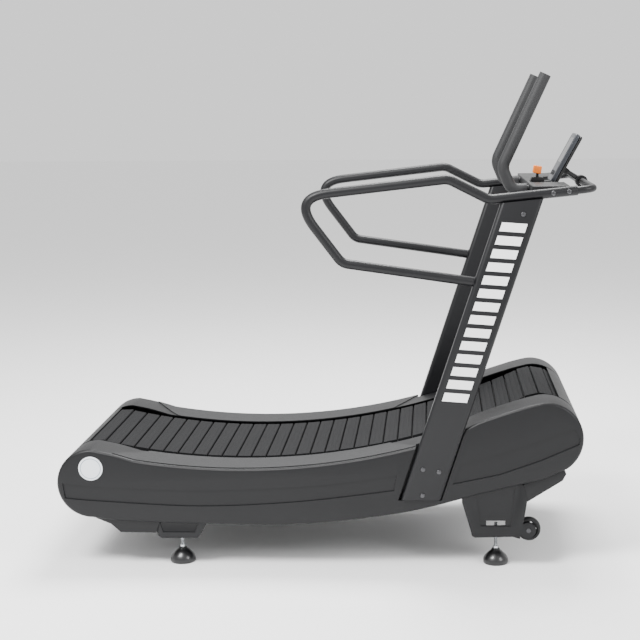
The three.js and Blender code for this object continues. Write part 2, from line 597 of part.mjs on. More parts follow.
// A drum is a skin and a hub joined by one web at its middle.
const DRUM_SKIN = 6;
const DRUM_WEB = 16;
const HUB_RADIUS = 24;
const DRUM_SEGMENTS = 24;
function drum(place) {
  const [half, web] = [DRUM_WIDTH / 2, DRUM_WEB / 2];
  const outer = place.r - BELT_THICKNESS - 1;
  const inner = outer - DRUM_SKIN;
  const bore = AXLE_RADIUS + GAP;
  return turned(place.x, place.z, [[bore, -half], [HUB_RADIUS, -half], [HUB_RADIUS, -web], [inner, -web],
    [inner, -half], [outer, -half], [outer, half], [inner, half], [inner, web], [HUB_RADIUS, web],
    [HUB_RADIUS, half], [bore, half], [bore, -half]], DRUM_SEGMENTS);
}

// ---- assembly ------------------------------------------------------------------------------
const leg = frontLeg();
const bracket = rearBracket();
const legRoom = sideSlab(outline([462, 229], [493, 122], [509, 96], [664, 96], [677, 171], [687, 237],
  [675, 288], [640, 403], [497, 403]), LEG_Y[0] - 1, LEG_Y[1] + 0.6);
const bracketRoom = sideSlab(outline([-586, 90], [-394, 90], [-397, 293], [-583, 293]),
  LEG_Y[0] - 1, LEG_Y[1] - 7);

addPair("frame_rail", frameRail(), paint);
add("crossmember_rear", crossmember(-600), paint);
add("crossmember_mid", crossmember(RUN_LOW_X + 120), paint);
add("crossmember_front", crossmember(450), paint);
addPair("roller_rail", rollerRail(), steel);
addPair("side_cover", sideCover(legRoom, bracketRoom), plastic);
addPair("step_tread", stepTread(), treadPlastic);
add("front_hood", hood(frontNose, 2.5, -0.9, 1.13), plastic);
add("rear_hood", hood(rearNose, 2.5, 1.92, 4.1), plastic);
add("belly_pan_front", bellyPan(
  [[690, 237], [801, 303], [814, 327], [812, 360], [690, 360]],
  [[694, 243], [799, 307], [811, 328], [809, 370], [694, 370]]), plastic);
add("belly_pan_rear", bellyPan(
  [[-776, 200], [-776, 168], [-725, 147], [-692, 118], [-590, 117], [-590, 200]],
  [[-773, 210], [-773, 170], [-724, 150], [-691, 121], [-593, 120], [-593, 210]]), plastic);
addPair("front_leg", leg, plastic);
addPair("rear_foot_bracket", bracket, paint);
addPair("foot_pad_front", footPad(FRONT_FOOT_X), glossBlack);
addPair("foot_pad_rear", footPad(REAR_FOOT_X), glossBlack);
addPair("foot_stud_front", footStud(FRONT_FOOT_X, 107), steel);
addPair("foot_stud_rear", footStud(REAR_FOOT_X, 96), steel);
addPair("transport_wheel", transportWheel(), rubber);
add("slat_belt", slatBelt(), rubber);
add("front_drum", drum(frontDrum), steel);
add("front_axle", rod(frontDrum.x, frontDrum.z, AXLE_RADIUS, -348, 368), steel);
add("brake_disc", ring(frontDrum.x, frontDrum.z, AXLE_RADIUS + GAP, BRAKE_DISC.radius, ...BRAKE_DISC.y), steel);
add("rear_drum", drum(rearDrum), steel);
add("rear_axle", rod(rearDrum.x, rearDrum.z, AXLE_RADIUS, -348, 348), steel);
for (const [name, at] of [["front_bearing", frontDrum], ["rear_bearing", rearDrum]]) {
  addPair(name, ring(at.x, at.z, AXLE_RADIUS + GAP, 40, -RAIL_OUTER_Y - 25, -RAIL_OUTER_Y - GAP), steel);
}
add("magnet_carrier", magnetCarrier(), paint);
addPair("upright", upright(), paint);
addPair("handrail", handrail(), paint);
add("front_cross_tube", swept(crossTubePath(), CROSS_TUBE_RADIUS), paint);
addPair("handle", handleCore(0), paint);
addPair("grip", grip(), foam);
add("console_tray", consoleTray(), plastic);
add("lever_housing", leverHousing(), plastic);
add("resistance_lever", resistanceLever(), paint);
add("lever_grip", leverGrip(), orange);
add("display_bracket", displayBracket(), paint);
add("display_housing", placeDisplay(displayHousing()), plastic);
add("display_window", placeDisplay(displayWindow()), glass);
for (const i of [0, 1, 2]) add(`display_button_${i + 1}`, placeDisplay(displayButton(i)), rubber);

export default treadmill;
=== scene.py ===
"""Curved manual treadmill: every visible surface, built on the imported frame. Metres, +X front, +Z up."""

from __future__ import annotations

import logging
import math
from collections.abc import Iterable, Sequence
from dataclasses import dataclass, field
from enum import Enum

import bpy
from mathutils import Matrix, Vector

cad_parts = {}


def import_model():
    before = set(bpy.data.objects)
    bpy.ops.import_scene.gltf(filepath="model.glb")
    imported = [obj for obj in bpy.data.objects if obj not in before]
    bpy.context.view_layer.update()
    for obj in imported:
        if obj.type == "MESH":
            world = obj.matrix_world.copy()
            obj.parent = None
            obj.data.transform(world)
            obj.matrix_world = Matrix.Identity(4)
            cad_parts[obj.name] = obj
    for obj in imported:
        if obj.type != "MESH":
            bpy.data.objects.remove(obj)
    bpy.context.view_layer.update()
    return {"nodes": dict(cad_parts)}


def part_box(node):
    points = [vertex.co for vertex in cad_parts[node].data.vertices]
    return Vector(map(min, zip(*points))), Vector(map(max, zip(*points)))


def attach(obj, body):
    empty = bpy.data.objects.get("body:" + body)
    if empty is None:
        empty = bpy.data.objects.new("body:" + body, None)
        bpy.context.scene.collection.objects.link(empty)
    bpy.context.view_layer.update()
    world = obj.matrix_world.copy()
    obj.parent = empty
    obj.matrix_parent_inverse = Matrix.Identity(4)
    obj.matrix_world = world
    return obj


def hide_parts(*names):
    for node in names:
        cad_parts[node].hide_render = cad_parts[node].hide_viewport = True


log = logging.getLogger("treadmill")
Point = tuple[float, float]
Colour = tuple[float, float, float]


class Side(Enum):
    """Which side of the middle plane a piece is on."""

    RIGHT = -1
    LEFT = 1

    @property
    def word(self) -> str:
        """The side's name as the frame's nodes spell it."""
        return self.name.lower()


# ---- shader maths --------------------------------------------------------------------------


class Value:
    """A float socket that takes part in Python arithmetic."""

    def __init__(self, graph: Graph, socket: bpy.types.NodeSocket) -> None:
        """Wraps a socket.

        Args:
            graph: The material the socket is in.
            socket: The output to wrap.
        """
        self.graph = graph
        self.socket = socket

    def _maths(self, operation: str, first: Value | float, second: Value | float = 0.0) -> Value:
        """Adds one Math node.

        Args:
            operation: The Math node's operation.
            first: Its first value.
            second: Its second value.

        Returns:
            The node's output.
        """
        node = self.graph.node("ShaderNodeMath", {"operation": operation}, {0: first, 1: second})
        return Value(self.graph, node.outputs[0])

    def __add__(self, other: Value | float) -> Value:
        """Sum."""
        return self._maths("ADD", self, other)

    def __radd__(self, other: float) -> Value:
        """Reflected sum."""
        return self._maths("ADD", other, self)

    def __sub__(self, other: Value | float) -> Value:
        """Difference."""
        return self._maths("SUBTRACT", self, other)

    def __rsub__(self, other: float) -> Value:
        """Reflected difference."""
        return self._maths("SUBTRACT", other, self)

    def __mul__(self, other: Value | float) -> Value:
        """Product."""
        return self._maths("MULTIPLY", self, other)

    def __rmul__(self, other: float) -> Value:
        """Reflected product."""
        return self._maths("MULTIPLY", other, self)

    def __gt__(self, other: Value | float) -> Value:
        """One where this is greater, else nought."""
        return self._maths("GREATER_THAN", self, other)

    def __lt__(self, other: Value | float) -> Value:
        """One where this is less, else nought."""
        return self._maths("LESS_THAN", self, other)

    def power(self, exponent: float) -> Value:
        """This value raised to an exponent."""
        return self._maths("POWER", self, exponent)


class Graph:
    """One material's nodes."""

    def __init__(self, name: str) -> None:
        """Starts an empty Principled material.

        Args:
            name: The material's name.
        """
        self.material = bpy.data.materials.new(name)
        self.material.use_nodes = True
        self.tree = self.material.node_tree
        self.shader = self.tree.nodes["Principled BSDF"]

    def node(self, kind: str, settings: dict, inputs: dict) -> bpy.types.Node:
        """Adds a node.

        Args:
            kind: The node's type.
            settings: Its own properties, set first.
            inputs: Values or links for its sockets.

        Returns:
            The new node.
        """
        made = self.tree.nodes.new(kind)
        for key, value in settings.items():
            setattr(made, key, value)
        for key, value in inputs.items():
            self.feed(made.inputs[key], value)
        return made

    def feed(self, socket: bpy.types.NodeSocket, value: object) -> None:
        """Links or sets one socket.

        Args:
            socket: The input.
            value: A Value, a socket or a plain number or colour.
        """
        if isinstance(value, Value):
            self.tree.links.new(value.socket, socket)
        elif isinstance(value, bpy.types.NodeSocket):
            self.tree.links.new(value, socket)
        else:
            socket.default_value = value

    def place(self, scale: Sequence[float] = (1, 1, 1), turn: float = 0.0) -> bpy.types.NodeSocket:
        """Object coordinates, stretched and turned about Y.

        Args:
            scale: How much each axis is stretched.
            turn: Angle about Y.

        Returns:
            The vector socket.
        """
        where = self.node("ShaderNodeTexCoord", {}, {}).outputs["Object"]
        sockets = {"Vector": where, "Scale": scale, "Rotation": (0, turn, 0)}
        mapping = self.node("ShaderNodeMapping", {}, sockets)
        return mapping.outputs["Vector"]

    def noise(self, where: bpy.types.NodeSocket, scale: float, detail: float = 2.0) -> Value:
        """Noise, from nought to one.

        Args:
            where: Coordinates.
            scale: Cells per metre.
            detail: Octaves.

        Returns:
            The noise.
        """
        node = self.node("ShaderNodeTexNoise", {}, {"Vector": where, "Scale": scale, "Detail": detail})
        return Value(self, node.outputs["Fac"])

    def cells(self, where: bpy.types.NodeSocket, scale: float) -> Value:
        """Distance to the nearest cell's middle.

        Args:
            where: Coordinates.
            scale: Cells per metre.

        Returns:
            The distance.
        """
        node = self.node("ShaderNodeTexVoronoi", {}, {"Vector": where, "Scale": scale})
        return Value(self, node.outputs["Distance"])

    def axes(self, where: bpy.types.NodeSocket) -> tuple[Value, Value, Value]:
        """Splits a vector into its three numbers."""
        split = self.node("ShaderNodeSeparateXYZ", {}, {"Vector": where})
        return tuple(Value(self, socket) for socket in split.outputs)

    def blend(self, mask: Value, low: Colour, high: Colour) -> bpy.types.NodeSocket:
        """A colour between two.

        Args:
            mask: Nought gives low and one gives high.
            low: First colour.
            high: Second colour.

        Returns:
            The colour socket.
        """
        mix = self.node("ShaderNodeMix", {"data_type": "RGBA"}, {0: mask, 6: (*low, 1), 7: (*high, 1)})
        return mix.outputs[2]

    def bump(self, height: Value, depth: float, strength: float = 1.0) -> None:
        """Feeds a height to the shader's normal.

        Args:
            height: From nought to one.
            depth: Metres that one stands for.
            strength: The bump's strength.
        """
        node = self.node("ShaderNodeBump", {}, {"Height": height, "Distance": depth, "Strength": strength})
        self.feed(self.shader.inputs["Normal"], node.outputs["Normal"])


# ---- finishes ------------------------------------------------------------------------------


@dataclass(frozen=True)
class Grained:
    """Moulded plastic, powder coat or foam: one colour, a grain, and slow changes in its sheen."""

    name: str
    colour: Colour
    rough: float
    grain: float
    depth: float
    metallic: float = 0.0
    coat: float = 0.0
    mottle: float = 0.12
    specular: float = 0.3

    def make(self) -> bpy.types.Material:
        """Builds the material.

        Returns:
            The material.
        """
        graph = Graph(self.name)
        where = graph.place()
        cloud = graph.noise(where, 5.0, 4.0)
        grain = graph.noise(where, self.grain, 3.0)
        low = tuple(c * (1 - self.mottle) for c in self.colour)
        high = tuple(c * (1 + self.mottle) for c in self.colour)
        graph.feed(graph.shader.inputs["Base Color"], graph.blend(cloud * 0.7 + grain * 0.3, low, high))
        graph.feed(graph.shader.inputs["Roughness"], cloud * 0.14 + grain * 0.1 + (self.rough - 0.12))
        graph.shader.inputs["Metallic"].default_value = self.metallic
        graph.shader.inputs["Coat Weight"].default_value = self.coat
        graph.shader.inputs["Specular IOR Level"].default_value = self.specular
        graph.bump(grain, self.depth)
        return graph.material


@dataclass(frozen=True)
class SlatRubber:
    """The slats' rough rubber: fine grit, worn paler along the middle where feet land."""

    name: str = "slat_rubber"
    colour: Colour = (0.0035, 0.0036, 0.0042)
    worn: Colour = (0.0075, 0.0077, 0.0086)

    def make(self) -> bpy.types.Material:
        """Builds the material.

        Returns:
            The material.
        """
        graph = Graph(self.name)
        where = graph.place()
        grit = graph.noise(where, 420.0, 4.0)
        streak = graph.noise(graph.place((14.0, 3.0, 14.0)), 2.0, 5.0)
        wear = grit * 0.45 + streak * 0.55
        graph.feed(graph.shader.inputs["Base Color"], graph.blend(wear, self.colour, self.worn))
        graph.feed(graph.shader.inputs["Roughness"], grit * 0.2 + 0.62)
        graph.shader.inputs["Specular IOR Level"].default_value = 0.18
        graph.bump(grit + graph.cells(where, 330.0) * 0.5, 0.0009)
        return graph.material


@dataclass(frozen=True)
class StudTread:
    """The step's moulded surface: rows of small raised pips."""

    name: str = "step_tread_pips"
    colour: Colour = (0.007, 0.0071, 0.0078)
    crest: Colour = (0.021, 0.0213, 0.0228)
    pitch: float = 0.0075

    def make(self) -> bpy.types.Material:
        """Builds the material.

        Returns:
            The material.
        """
        graph = Graph(self.name)
        spacing = 2 * math.pi / self.pitch
        along, across, _ = graph.axes(graph.place())
        waves = [graph.node("ShaderNodeMath", {"operation": "SINE"}, {0: axis * spacing})
                 for axis in (along, across)]
        first, second = (Value(graph, wave.outputs[0]) for wave in waves)
        pips = (first * second) > 0.25
        grit = graph.noise(graph.place(), 260.0, 3.0)
        raised = pips * 0.7 + grit * 0.3
        graph.feed(graph.shader.inputs["Base Color"], graph.blend(raised, self.colour, self.crest))
        graph.feed(graph.shader.inputs["Roughness"], grit * 0.2 + 0.55)
        graph.bump(pips + grit * 0.25, 0.0006)
        return graph.material


@dataclass(frozen=True)
class DrawnMetal:
    """Steel or zinc with fine drawing lines along one axis."""

    name: str
    colour: Colour
    rough: float

    def make(self) -> bpy.types.Material:
        """Builds the material.

        Returns:
            The material.
        """
        graph = Graph(self.name)
        lines = graph.noise(graph.place((60.0, 2.0, 60.0)), 9.0, 4.0)
        spots = graph.noise(graph.place(), 90.0, 2.0)
        low = tuple(c * 0.82 for c in self.colour)
        graph.feed(graph.shader.inputs["Base Color"], graph.blend(spots, low, self.colour))
        graph.feed(graph.shader.inputs["Roughness"], lines * 0.2 + (self.rough - 0.08))
        graph.shader.inputs["Metallic"].default_value = 1.0
        graph.bump(lines, 0.00015)
        return graph.material


@dataclass(frozen=True)
class RingBadge:
    """A plain round badge: a pale disc with one fine dark line near its rim."""

    centre: Point
    radius: float
    name: str = "ring_badge"
    pale: Colour = (0.72, 0.75, 0.78)
    band: Colour = (0.23, 0.29, 0.34)

    def make(self) -> bpy.types.Material:
        """Builds the material.

        Returns:
            The material.
        """
        graph = Graph(self.name)
        x, _, z = graph.axes(graph.place())
        square = (x - self.centre[0]).power(2.0) + (z - self.centre[1]).power(2.0)
        line = (square > (self.radius * 0.8) ** 2) * (square < (self.radius * 0.86) ** 2)
        haze = graph.noise(graph.place(), 180.0, 2.0)
        graph.feed(graph.shader.inputs["Base Color"], graph.blend(line, self.pale, self.band))
        graph.feed(graph.shader.inputs["Roughness"], haze * 0.15 + 0.3)
        graph.bump(haze, 0.00008)
        return graph.material


class Finish(Enum):
    """Every finish on the treadmill, by the name of its piece or surface."""

    COVER = Grained("cover_plastic", (0.0042, 0.0043, 0.005), 0.44, 900.0, 0.00022)
    PAINT = Grained("powder_coat", (0.0055, 0.0056, 0.0066), 0.42, 520.0, 0.00026)
    FOAM = Grained("handle_foam", (0.012, 0.0122, 0.0132), 0.6, 700.0, 0.0004, specular=0.45)
    RUBBER = Grained("wheel_rubber", (0.008, 0.008, 0.0085), 0.62, 400.0, 0.0003)
    GLOSS = Grained("pad_gloss", (0.006, 0.006, 0.0068), 0.34, 120.0, 0.00005, coat=0.25, specular=0.5)
    DARK = Grained("dark_plastic", (0.006, 0.006, 0.0065), 0.46, 700.0, 0.0002)
    GREY = Grained("display_grey", (0.034, 0.037, 0.044), 0.38, 900.0, 0.0001, coat=0.1)
    GLASS = Grained("display_glass", (0.004, 0.005, 0.007), 0.2, 60.0, 0.00002, coat=0.25)
    ORANGE = Grained("lever_orange", (0.82, 0.2, 0.02), 0.42, 600.0, 0.0001)
    VINYL = Grained("white_vinyl", (0.86, 0.86, 0.86), 0.45, 300.0, 0.00003, mottle=0.02)
    BELT = SlatRubber()
    TREAD = StudTread()
    SCREW = DrawnMetal("black_oxide", (0.10, 0.10, 0.105), 0.3)
    STEEL = DrawnMetal("ground_steel", (0.5, 0.5, 0.52), 0.34)
    ZINC = DrawnMetal("zinc_plate", (0.74, 0.76, 0.78), 0.25)


_made: dict[str, bpy.types.Material] = {}


def material(finish: Finish | RingBadge) -> bpy.types.Material:
    """The finish's material, made once.

    Args:
        finish: Which finish.

    Returns:
        The material.
    """
    recipe = finish.value if isinstance(finish, Finish) else finish
    if recipe.name not in _made:
        _made[recipe.name] = recipe.make()
    return _made[recipe.name]


# ---- modelling tools -----------------------------------------------------------------------

UPRIGHT_PLANE = Matrix(((1, 0, 0, 0), (0, 0, -1, 0), (0, 1, 0, 0), (0, 0, 0, 1)))


def only(obj: bpy.types.Object) -> None:
    """Selects one object and nothing else.

    Args:
        obj: The object.
    """
    bpy.ops.object.select_all(action="DESELECT")
    obj.select_set(True)
    bpy.context.view_layer.objects.active = obj


def apply(obj: bpy.types.Object, kind: str, **settings: object) -> None:
    """Adds a modifier and applies it.

    Args:
        obj: The object.
        kind: The modifier's type.
        **settings: Its properties.
    """
    only(obj)
    modifier = obj.modifiers.new(kind.title(), kind)
    for key, value in settings.items():
        setattr(modifier, key, value)
    bpy.ops.object.modifier_apply(modifier=modifier.name)


def outward(obj: bpy.types.Object) -> None:
    """Merges doubles and turns every face outwards.

    Args:
        obj: The object.
    """
    only(obj)
    bpy.ops.object.mode_set(mode="EDIT")
    bpy.ops.mesh.select_all(action="SELECT")
    bpy.ops.mesh.remove_doubles(threshold=1e-6)
    bpy.ops.mesh.normals_make_consistent(inside=False)
    bpy.ops.object.mode_set(mode="OBJECT")


def prism(corners: Sequence[Point], depth: float, place: Matrix) -> bpy.types.Object:
    """An outline made solid along its own Z, then put in place.

    Args:
        corners: The outline, in the drawing plane.
        depth: How thick.
        place: From the drawing plane to the frame.

    Returns:
        The solid.
    """
    bpy.ops.object.select_all(action="DESELECT")
    bpy.ops.mesh.primitive_circle_add(vertices=len(corners), radius=1.0, fill_type="NGON")
    obj = bpy.context.active_object
    for vertex, (x, y) in zip(obj.data.vertices, corners):
        vertex.co = (x, y, 0)
    bpy.ops.object.mode_set(mode="EDIT")
    bpy.ops.mesh.select_all(action="SELECT")
    bpy.ops.mesh.extrude_region_move(TRANSFORM_OT_translate={"value": (0, 0, depth)})
    bpy.ops.object.mode_set(mode="OBJECT")
    obj.data.transform(place)
    outward(obj)
    return obj


def slab(corners: Sequence[Point], low: float, high: float) -> bpy.types.Object:
    """An outline in x and z, solid from y = low to y = high."""
    return prism(corners, high - low, Matrix.Translation((0, high, 0)) @ UPRIGHT_PLANE)


def side_slab(corners: Sequence[Point], side: Side, near: float, far: float) -> bpy.types.Object:
    """An outline in x and z, made solid on one side of the middle plane."""
    low, high = sorted((side.value * near, side.value * far))
    return slab(corners, low, high)


def rounded(obj: bpy.types.Object, width: float, segments: int = 3, angle: float = 35.0) -> bpy.types.Object:
    """Rounds the sharp edges.

    Args:
        obj: The solid.
        width: The round's size.
        segments: Steps round it.
        angle: Edges turning by more than this many degrees are rounded.

    Returns:
        The same object.
    """
    apply(obj, "BEVEL", width=width, segments=segments, limit_method="ANGLE", angle_limit=math.radians(angle),
          harden_normals=False)
    return obj


def boolean(obj: bpy.types.Object, tool: bpy.types.Object, operation: str = "DIFFERENCE") -> bpy.types.Object:
    """Cuts, joins or crosses with another solid, which is used up.

    Args:
        obj: The solid that stays.
        tool: The other solid.
        operation: The modifier's operation.

    Returns:
        The solid that stays.
    """
    apply(obj, "BOOLEAN", object=tool, operation=operation, solver="EXACT")
    bpy.data.objects.remove(tool)
    return obj


def sawn(obj: bpy.types.Object, point: Sequence[float], normal: Sequence[float]) -> None:
    """Cuts away everything past a plane and closes the cut.

    Args:
        obj: The solid.
        point: A point on the plane.
        normal: The plane's direction, towards what goes.
    """
    only(obj)
    bpy.ops.object.mode_set(mode="EDIT")
    bpy.ops.mesh.select_all(action="SELECT")
    bpy.ops.mesh.bisect(plane_co=point, plane_no=normal, clear_outer=True, use_fill=True)
    bpy.ops.object.mode_set(mode="OBJECT")


def joined(objects: Iterable[bpy.types.Object]) -> bpy.types.Object:
    """Joins several objects into one.

    Args:
        objects: What to join.

    Returns:
        The one object.
    """
    parts = list(objects)
    bpy.ops.object.select_all(action="DESELECT")
    for part in parts:
        part.select_set(True)
    bpy.context.view_layer.objects.active = parts[0]
    bpy.ops.object.join()
    return bpy.context.active_object


def disc(x: float, z: float, radius: float, steps: int = 48) -> list[Point]:
    """A circle's corners."""
    turns = [2 * math.pi * i / steps for i in range(steps)]
    return [(x + radius * math.cos(t), z + radius * math.sin(t)) for t in turns]


def arc(x: float, z: float, radius: float, start: float, stop: float, steps: int) -> list[Point]:
    """Points on an arc, both ends included."""
    turns = [start + (stop - start) * i / steps for i in range(steps + 1)]
    return [(x + radius * math.cos(t), z + radius * math.sin(t)) for t in turns]


def spline(knots: Sequence[Point], steps: int = 8) -> list[Point]:
    """A smooth curve through knots, the first left out.

    Args:
        knots: Points to pass through.
        steps: Points per stretch.

    Returns:
        The curve.
    """
    curve: list[Point] = []
    for i in range(len(knots) - 1):
        before, start = knots[max(i - 1, 0)], knots[i]
        stop, after = knots[i + 1], knots[min(i + 2, len(knots) - 1)]
        for j in range(1, steps + 1):
            t = j / steps
            curve.append(tuple(
                0.5 * (2 * b + (c - a) * t + (2 * a - 5 * b + 4 * c - d) * t * t
                       + (3 * b - a - 3 * c + d) * t ** 3)
                for a, b, c, d in zip(before, start, stop, after)))
    return curve


def rounded_rect(width: float, height: float, radius: float, steps: int = 6) -> list[Point]:
    """A rectangle about the origin with round corners.

    Args:
        width: Its size along the first axis.
        height: Its size along the second.
        radius: The corners' radius.
        steps: Steps round each corner.

    Returns:
        The outline, anticlockwise.
    """
    w, h = width / 2 - radius, height / 2 - radius
    corners = [(w, h, 0), (-w, h, 1), (-w, -h, 2), (w, -h, 3)]
    return [p for x, y, q in corners
            for p in arc(x, y, radius, q * math.pi / 2, (q + 1) * math.pi / 2, steps)]


def bent(corners: Sequence[Vector], bends: Sequence[float], steps: int = 12) -> list[Vector]:
    """A centreline whose corners are rounded.

    Args:
        corners: The corner points.
        bends: Bend radius at each inner corner.
        steps: Points round each bend.

    Returns:
        The centreline.
    """
    path = [corners[0]]
    for i, bend in enumerate(bends, start=1):
        back = (corners[i - 1] - corners[i]).normalized()
        ahead = (corners[i + 1] - corners[i]).normalized()
        reach = bend / math.tan(back.angle(ahead) / 2)
        enter, leave = corners[i] + back * reach, corners[i] + ahead * reach
        for j in range(steps + 1):
            t = j / steps
            path.append(enter * (1 - t) ** 2 + corners[i] * (2 * t * (1 - t)) + leave * t * t)
    path.append(corners[-1])
    return path


def tube(path: Sequence[Vector], radius: float, sides: int = 8) -> bpy.types.Object:
    """A round tube along a centreline, closed at both ends.

    Args:
        path: The centreline.
        radius: Outside radius.
        sides: Curve resolution of the round.

    Returns:
        The tube, as a mesh.
    """
    curve = bpy.data.curves.new("tube", "CURVE")
    curve.dimensions = "3D"
    curve.bevel_depth = radius
    curve.bevel_resolution = sides
    curve.use_fill_caps = True
    line = curve.splines.new("POLY")
    line.points.add(len(path) - 1)
    for point, place in zip(line.points, path):
        point.co = (*place, 1)
    obj = bpy.data.objects.new("tube", curve)
    bpy.context.collection.objects.link(obj)
    only(obj)
    bpy.ops.object.convert(target="MESH")
    outward(bpy.context.active_object)
    return bpy.context.active_object


def turned(profile: Sequence[Point], place: Matrix, steps: int = 48) -> bpy.types.Object:
    """A solid of revolution about its own Z, then put in place.

    Args:
        profile: Closed outline as (radius, height) pairs, or one that starts and ends on the axis.
        place: From its own space to the frame.
        steps: Steps round it.

    Returns:
        The solid.
    """
    bpy.ops.object.select_all(action="DESELECT")
    bpy.ops.mesh.primitive_circle_add(vertices=len(profile), radius=1.0, fill_type="NOTHING")
    obj = bpy.context.active_object
    for vertex, (radius, height) in zip(obj.data.vertices, profile):
        vertex.co = (radius, 0, height)
    apply(obj, "SCREW", steps=steps, render_steps=steps, use_merge_vertices=True, merge_threshold=1e-6)
    outward(obj)
    obj.data.transform(place)
    return obj


def across(x: float, y: float, z: float) -> Matrix:
    """A turned piece's own Z laid along +Y at a point."""
    return Matrix.Translation((x, y, z)) @ Matrix.Rotation(-math.pi / 2, 4, "X")


def finish_piece(obj: bpy.types.Object, name: str, finish: Finish | RingBadge, body: str = "base",
                 replaces: Sequence[str] = (), smooth: float = 32.0) -> bpy.types.Object:
    """Names, shades and dresses a piece, and puts it on its body.

    Args:
        obj: The piece.
        name: Its name.
        finish: Its finish.
        body: The frame's body it moves with.
        replaces: The frame's nodes it stands for.
        smooth: Faces that meet at less than this many degrees are shaded as one.

    Returns:
        The piece.
    """
    obj.name = name
    obj.data.name = name
    only(obj)
    bpy.ops.object.shade_smooth_by_angle(angle=math.radians(smooth))
    obj.data.materials.clear()
    obj.data.materials.append(material(finish))
    if replaces:
        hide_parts(*replaces)
    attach(obj, body)
    log.info("%s: %d faces", name, len(obj.data.polygons))
    return obj


# ---- places that several pieces share ------------------------------------------------------

UPRIGHT_FOOT: Point = (0.324, 0.240)
UPRIGHT_LEAN = math.radians(18.2)
RAIL_END: Point = (0.831, 1.271)
RAIL_SLOPE = 0.029 / 0.285


def rail_height(x: float) -> float:
    """The handrail's middle height over its straight front stretch."""
    return RAIL_END[1] + (x - RAIL_END[0]) * RAIL_SLOPE


# ---- the running surface -------------------------------------------------------------------


@dataclass
class Course:
    """The curve the belt follows, worked out from the frame's axles."""

    radius: float = 2.29
    low_x: float = -0.284
    low_z: float = 0.343
    front_bend: float = 0.122
    rear_bend: float = 0.096
    lower_radius: float = 4.2
    front: Point = field(init=False)
    rear: Point = field(init=False)
    arcs: list[tuple[Point, float, int, float, float]] = field(init=False)

    def __post_init__(self) -> None:
        """Reads the axles and lays out the four arcs of the belt's path."""
        self.front, self.rear = (self._axle(node) for node in ("front_axle", "rear_axle"))
        top, low = (self.low_x, self.low_z + self.radius), self._lower_centre()
        start, stop = self._heading(top, self.rear), self._heading(top, self.front)
        down, back = self._heading(low, self.front), self._heading(low, self.rear)
        self.arcs = [
            (top, self.radius, 1, start, stop),
            (self.front, self.front_bend, -1, stop + math.pi, down),
            (low, self.lower_radius, -1, down, back),
            (self.rear, self.rear_bend, -1, back, start - math.pi),
        ]

    @staticmethod
    def _axle(node: str) -> Point:
        """The middle of an axle in x and z."""
        low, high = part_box(node)
        return ((low.x + high.x) / 2, (low.z + high.z) / 2)

    @staticmethod
    def _heading(start: Point, stop: Point) -> float:
        """The angle from one point to another."""
        return math.atan2(stop[1] - start[1], stop[0] - start[0])

    def _lower_centre(self) -> Point:
        """The middle of the arc that the returning belt hangs in.

        Returns:
            The point in x and z, the two bends' circles touching the arc from inside.
        """
        first, second = self.lower_radius - self.rear_bend, self.lower_radius - self.front_bend
        dx, dz = self.front[0] - self.rear[0], self.front[1] - self.rear[1]
        span = math.hypot(dx, dz)
        along = (first ** 2 - second ** 2 + span ** 2) / (2 * span)
        up = math.sqrt(first ** 2 - along ** 2)
        return (self.rear[0] + (dx * along - dz * up) / span, self.rear[1] + (dz * along + dx * up) / span)

    @property
    def length(self) -> float:
        """The belt's length along its outer face."""
        return sum(radius * abs(stop - start) for _, radius, _, start, stop in self.arcs)

    def at(self, distance: float, depth: float = 0.0) -> tuple[Point, float]:
        """A place on the belt's path.

        Args:
            distance: How far along.
            depth: How deep below the outer face.

        Returns:
            The point in x and z, and the direction of travel there.
        """
        left = distance % self.length
        for centre, radius, inward, start, stop in self.arcs:
            stretch = radius * abs(stop - start)
            if left <= stretch:
                break
            left -= stretch
        angle = start + (stop - start) * left / stretch
        reach = radius + inward * depth
        point = (centre[0] + reach * math.cos(angle), centre[1] + reach * math.sin(angle))
        return point, angle + math.copysign(math.pi / 2, stop - start)

    def front_round(self, grow: float = 0.0) -> tuple[float, float, float]:
        """The covers' front round: its middle in x and z, and its radius."""
        return (self.front[0] + 0.01, self.front[1] + 0.002, self.front_bend + 0.002 + grow)

    def rear_round(self, grow: float = 0.0) -> tuple[float, float, float]:
        """The covers' rear round: its middle in x and z, and its radius."""
        return (self.rear[0] + 0.011, self.rear[1] - 0.013, self.rear_bend + 0.022 + grow)

    def height(self, x: float) -> float:
        """The running surface's height at x."""
        return self.low_z + self.radius - math.sqrt(self.radius ** 2 - (x - self.low_x) ** 2)


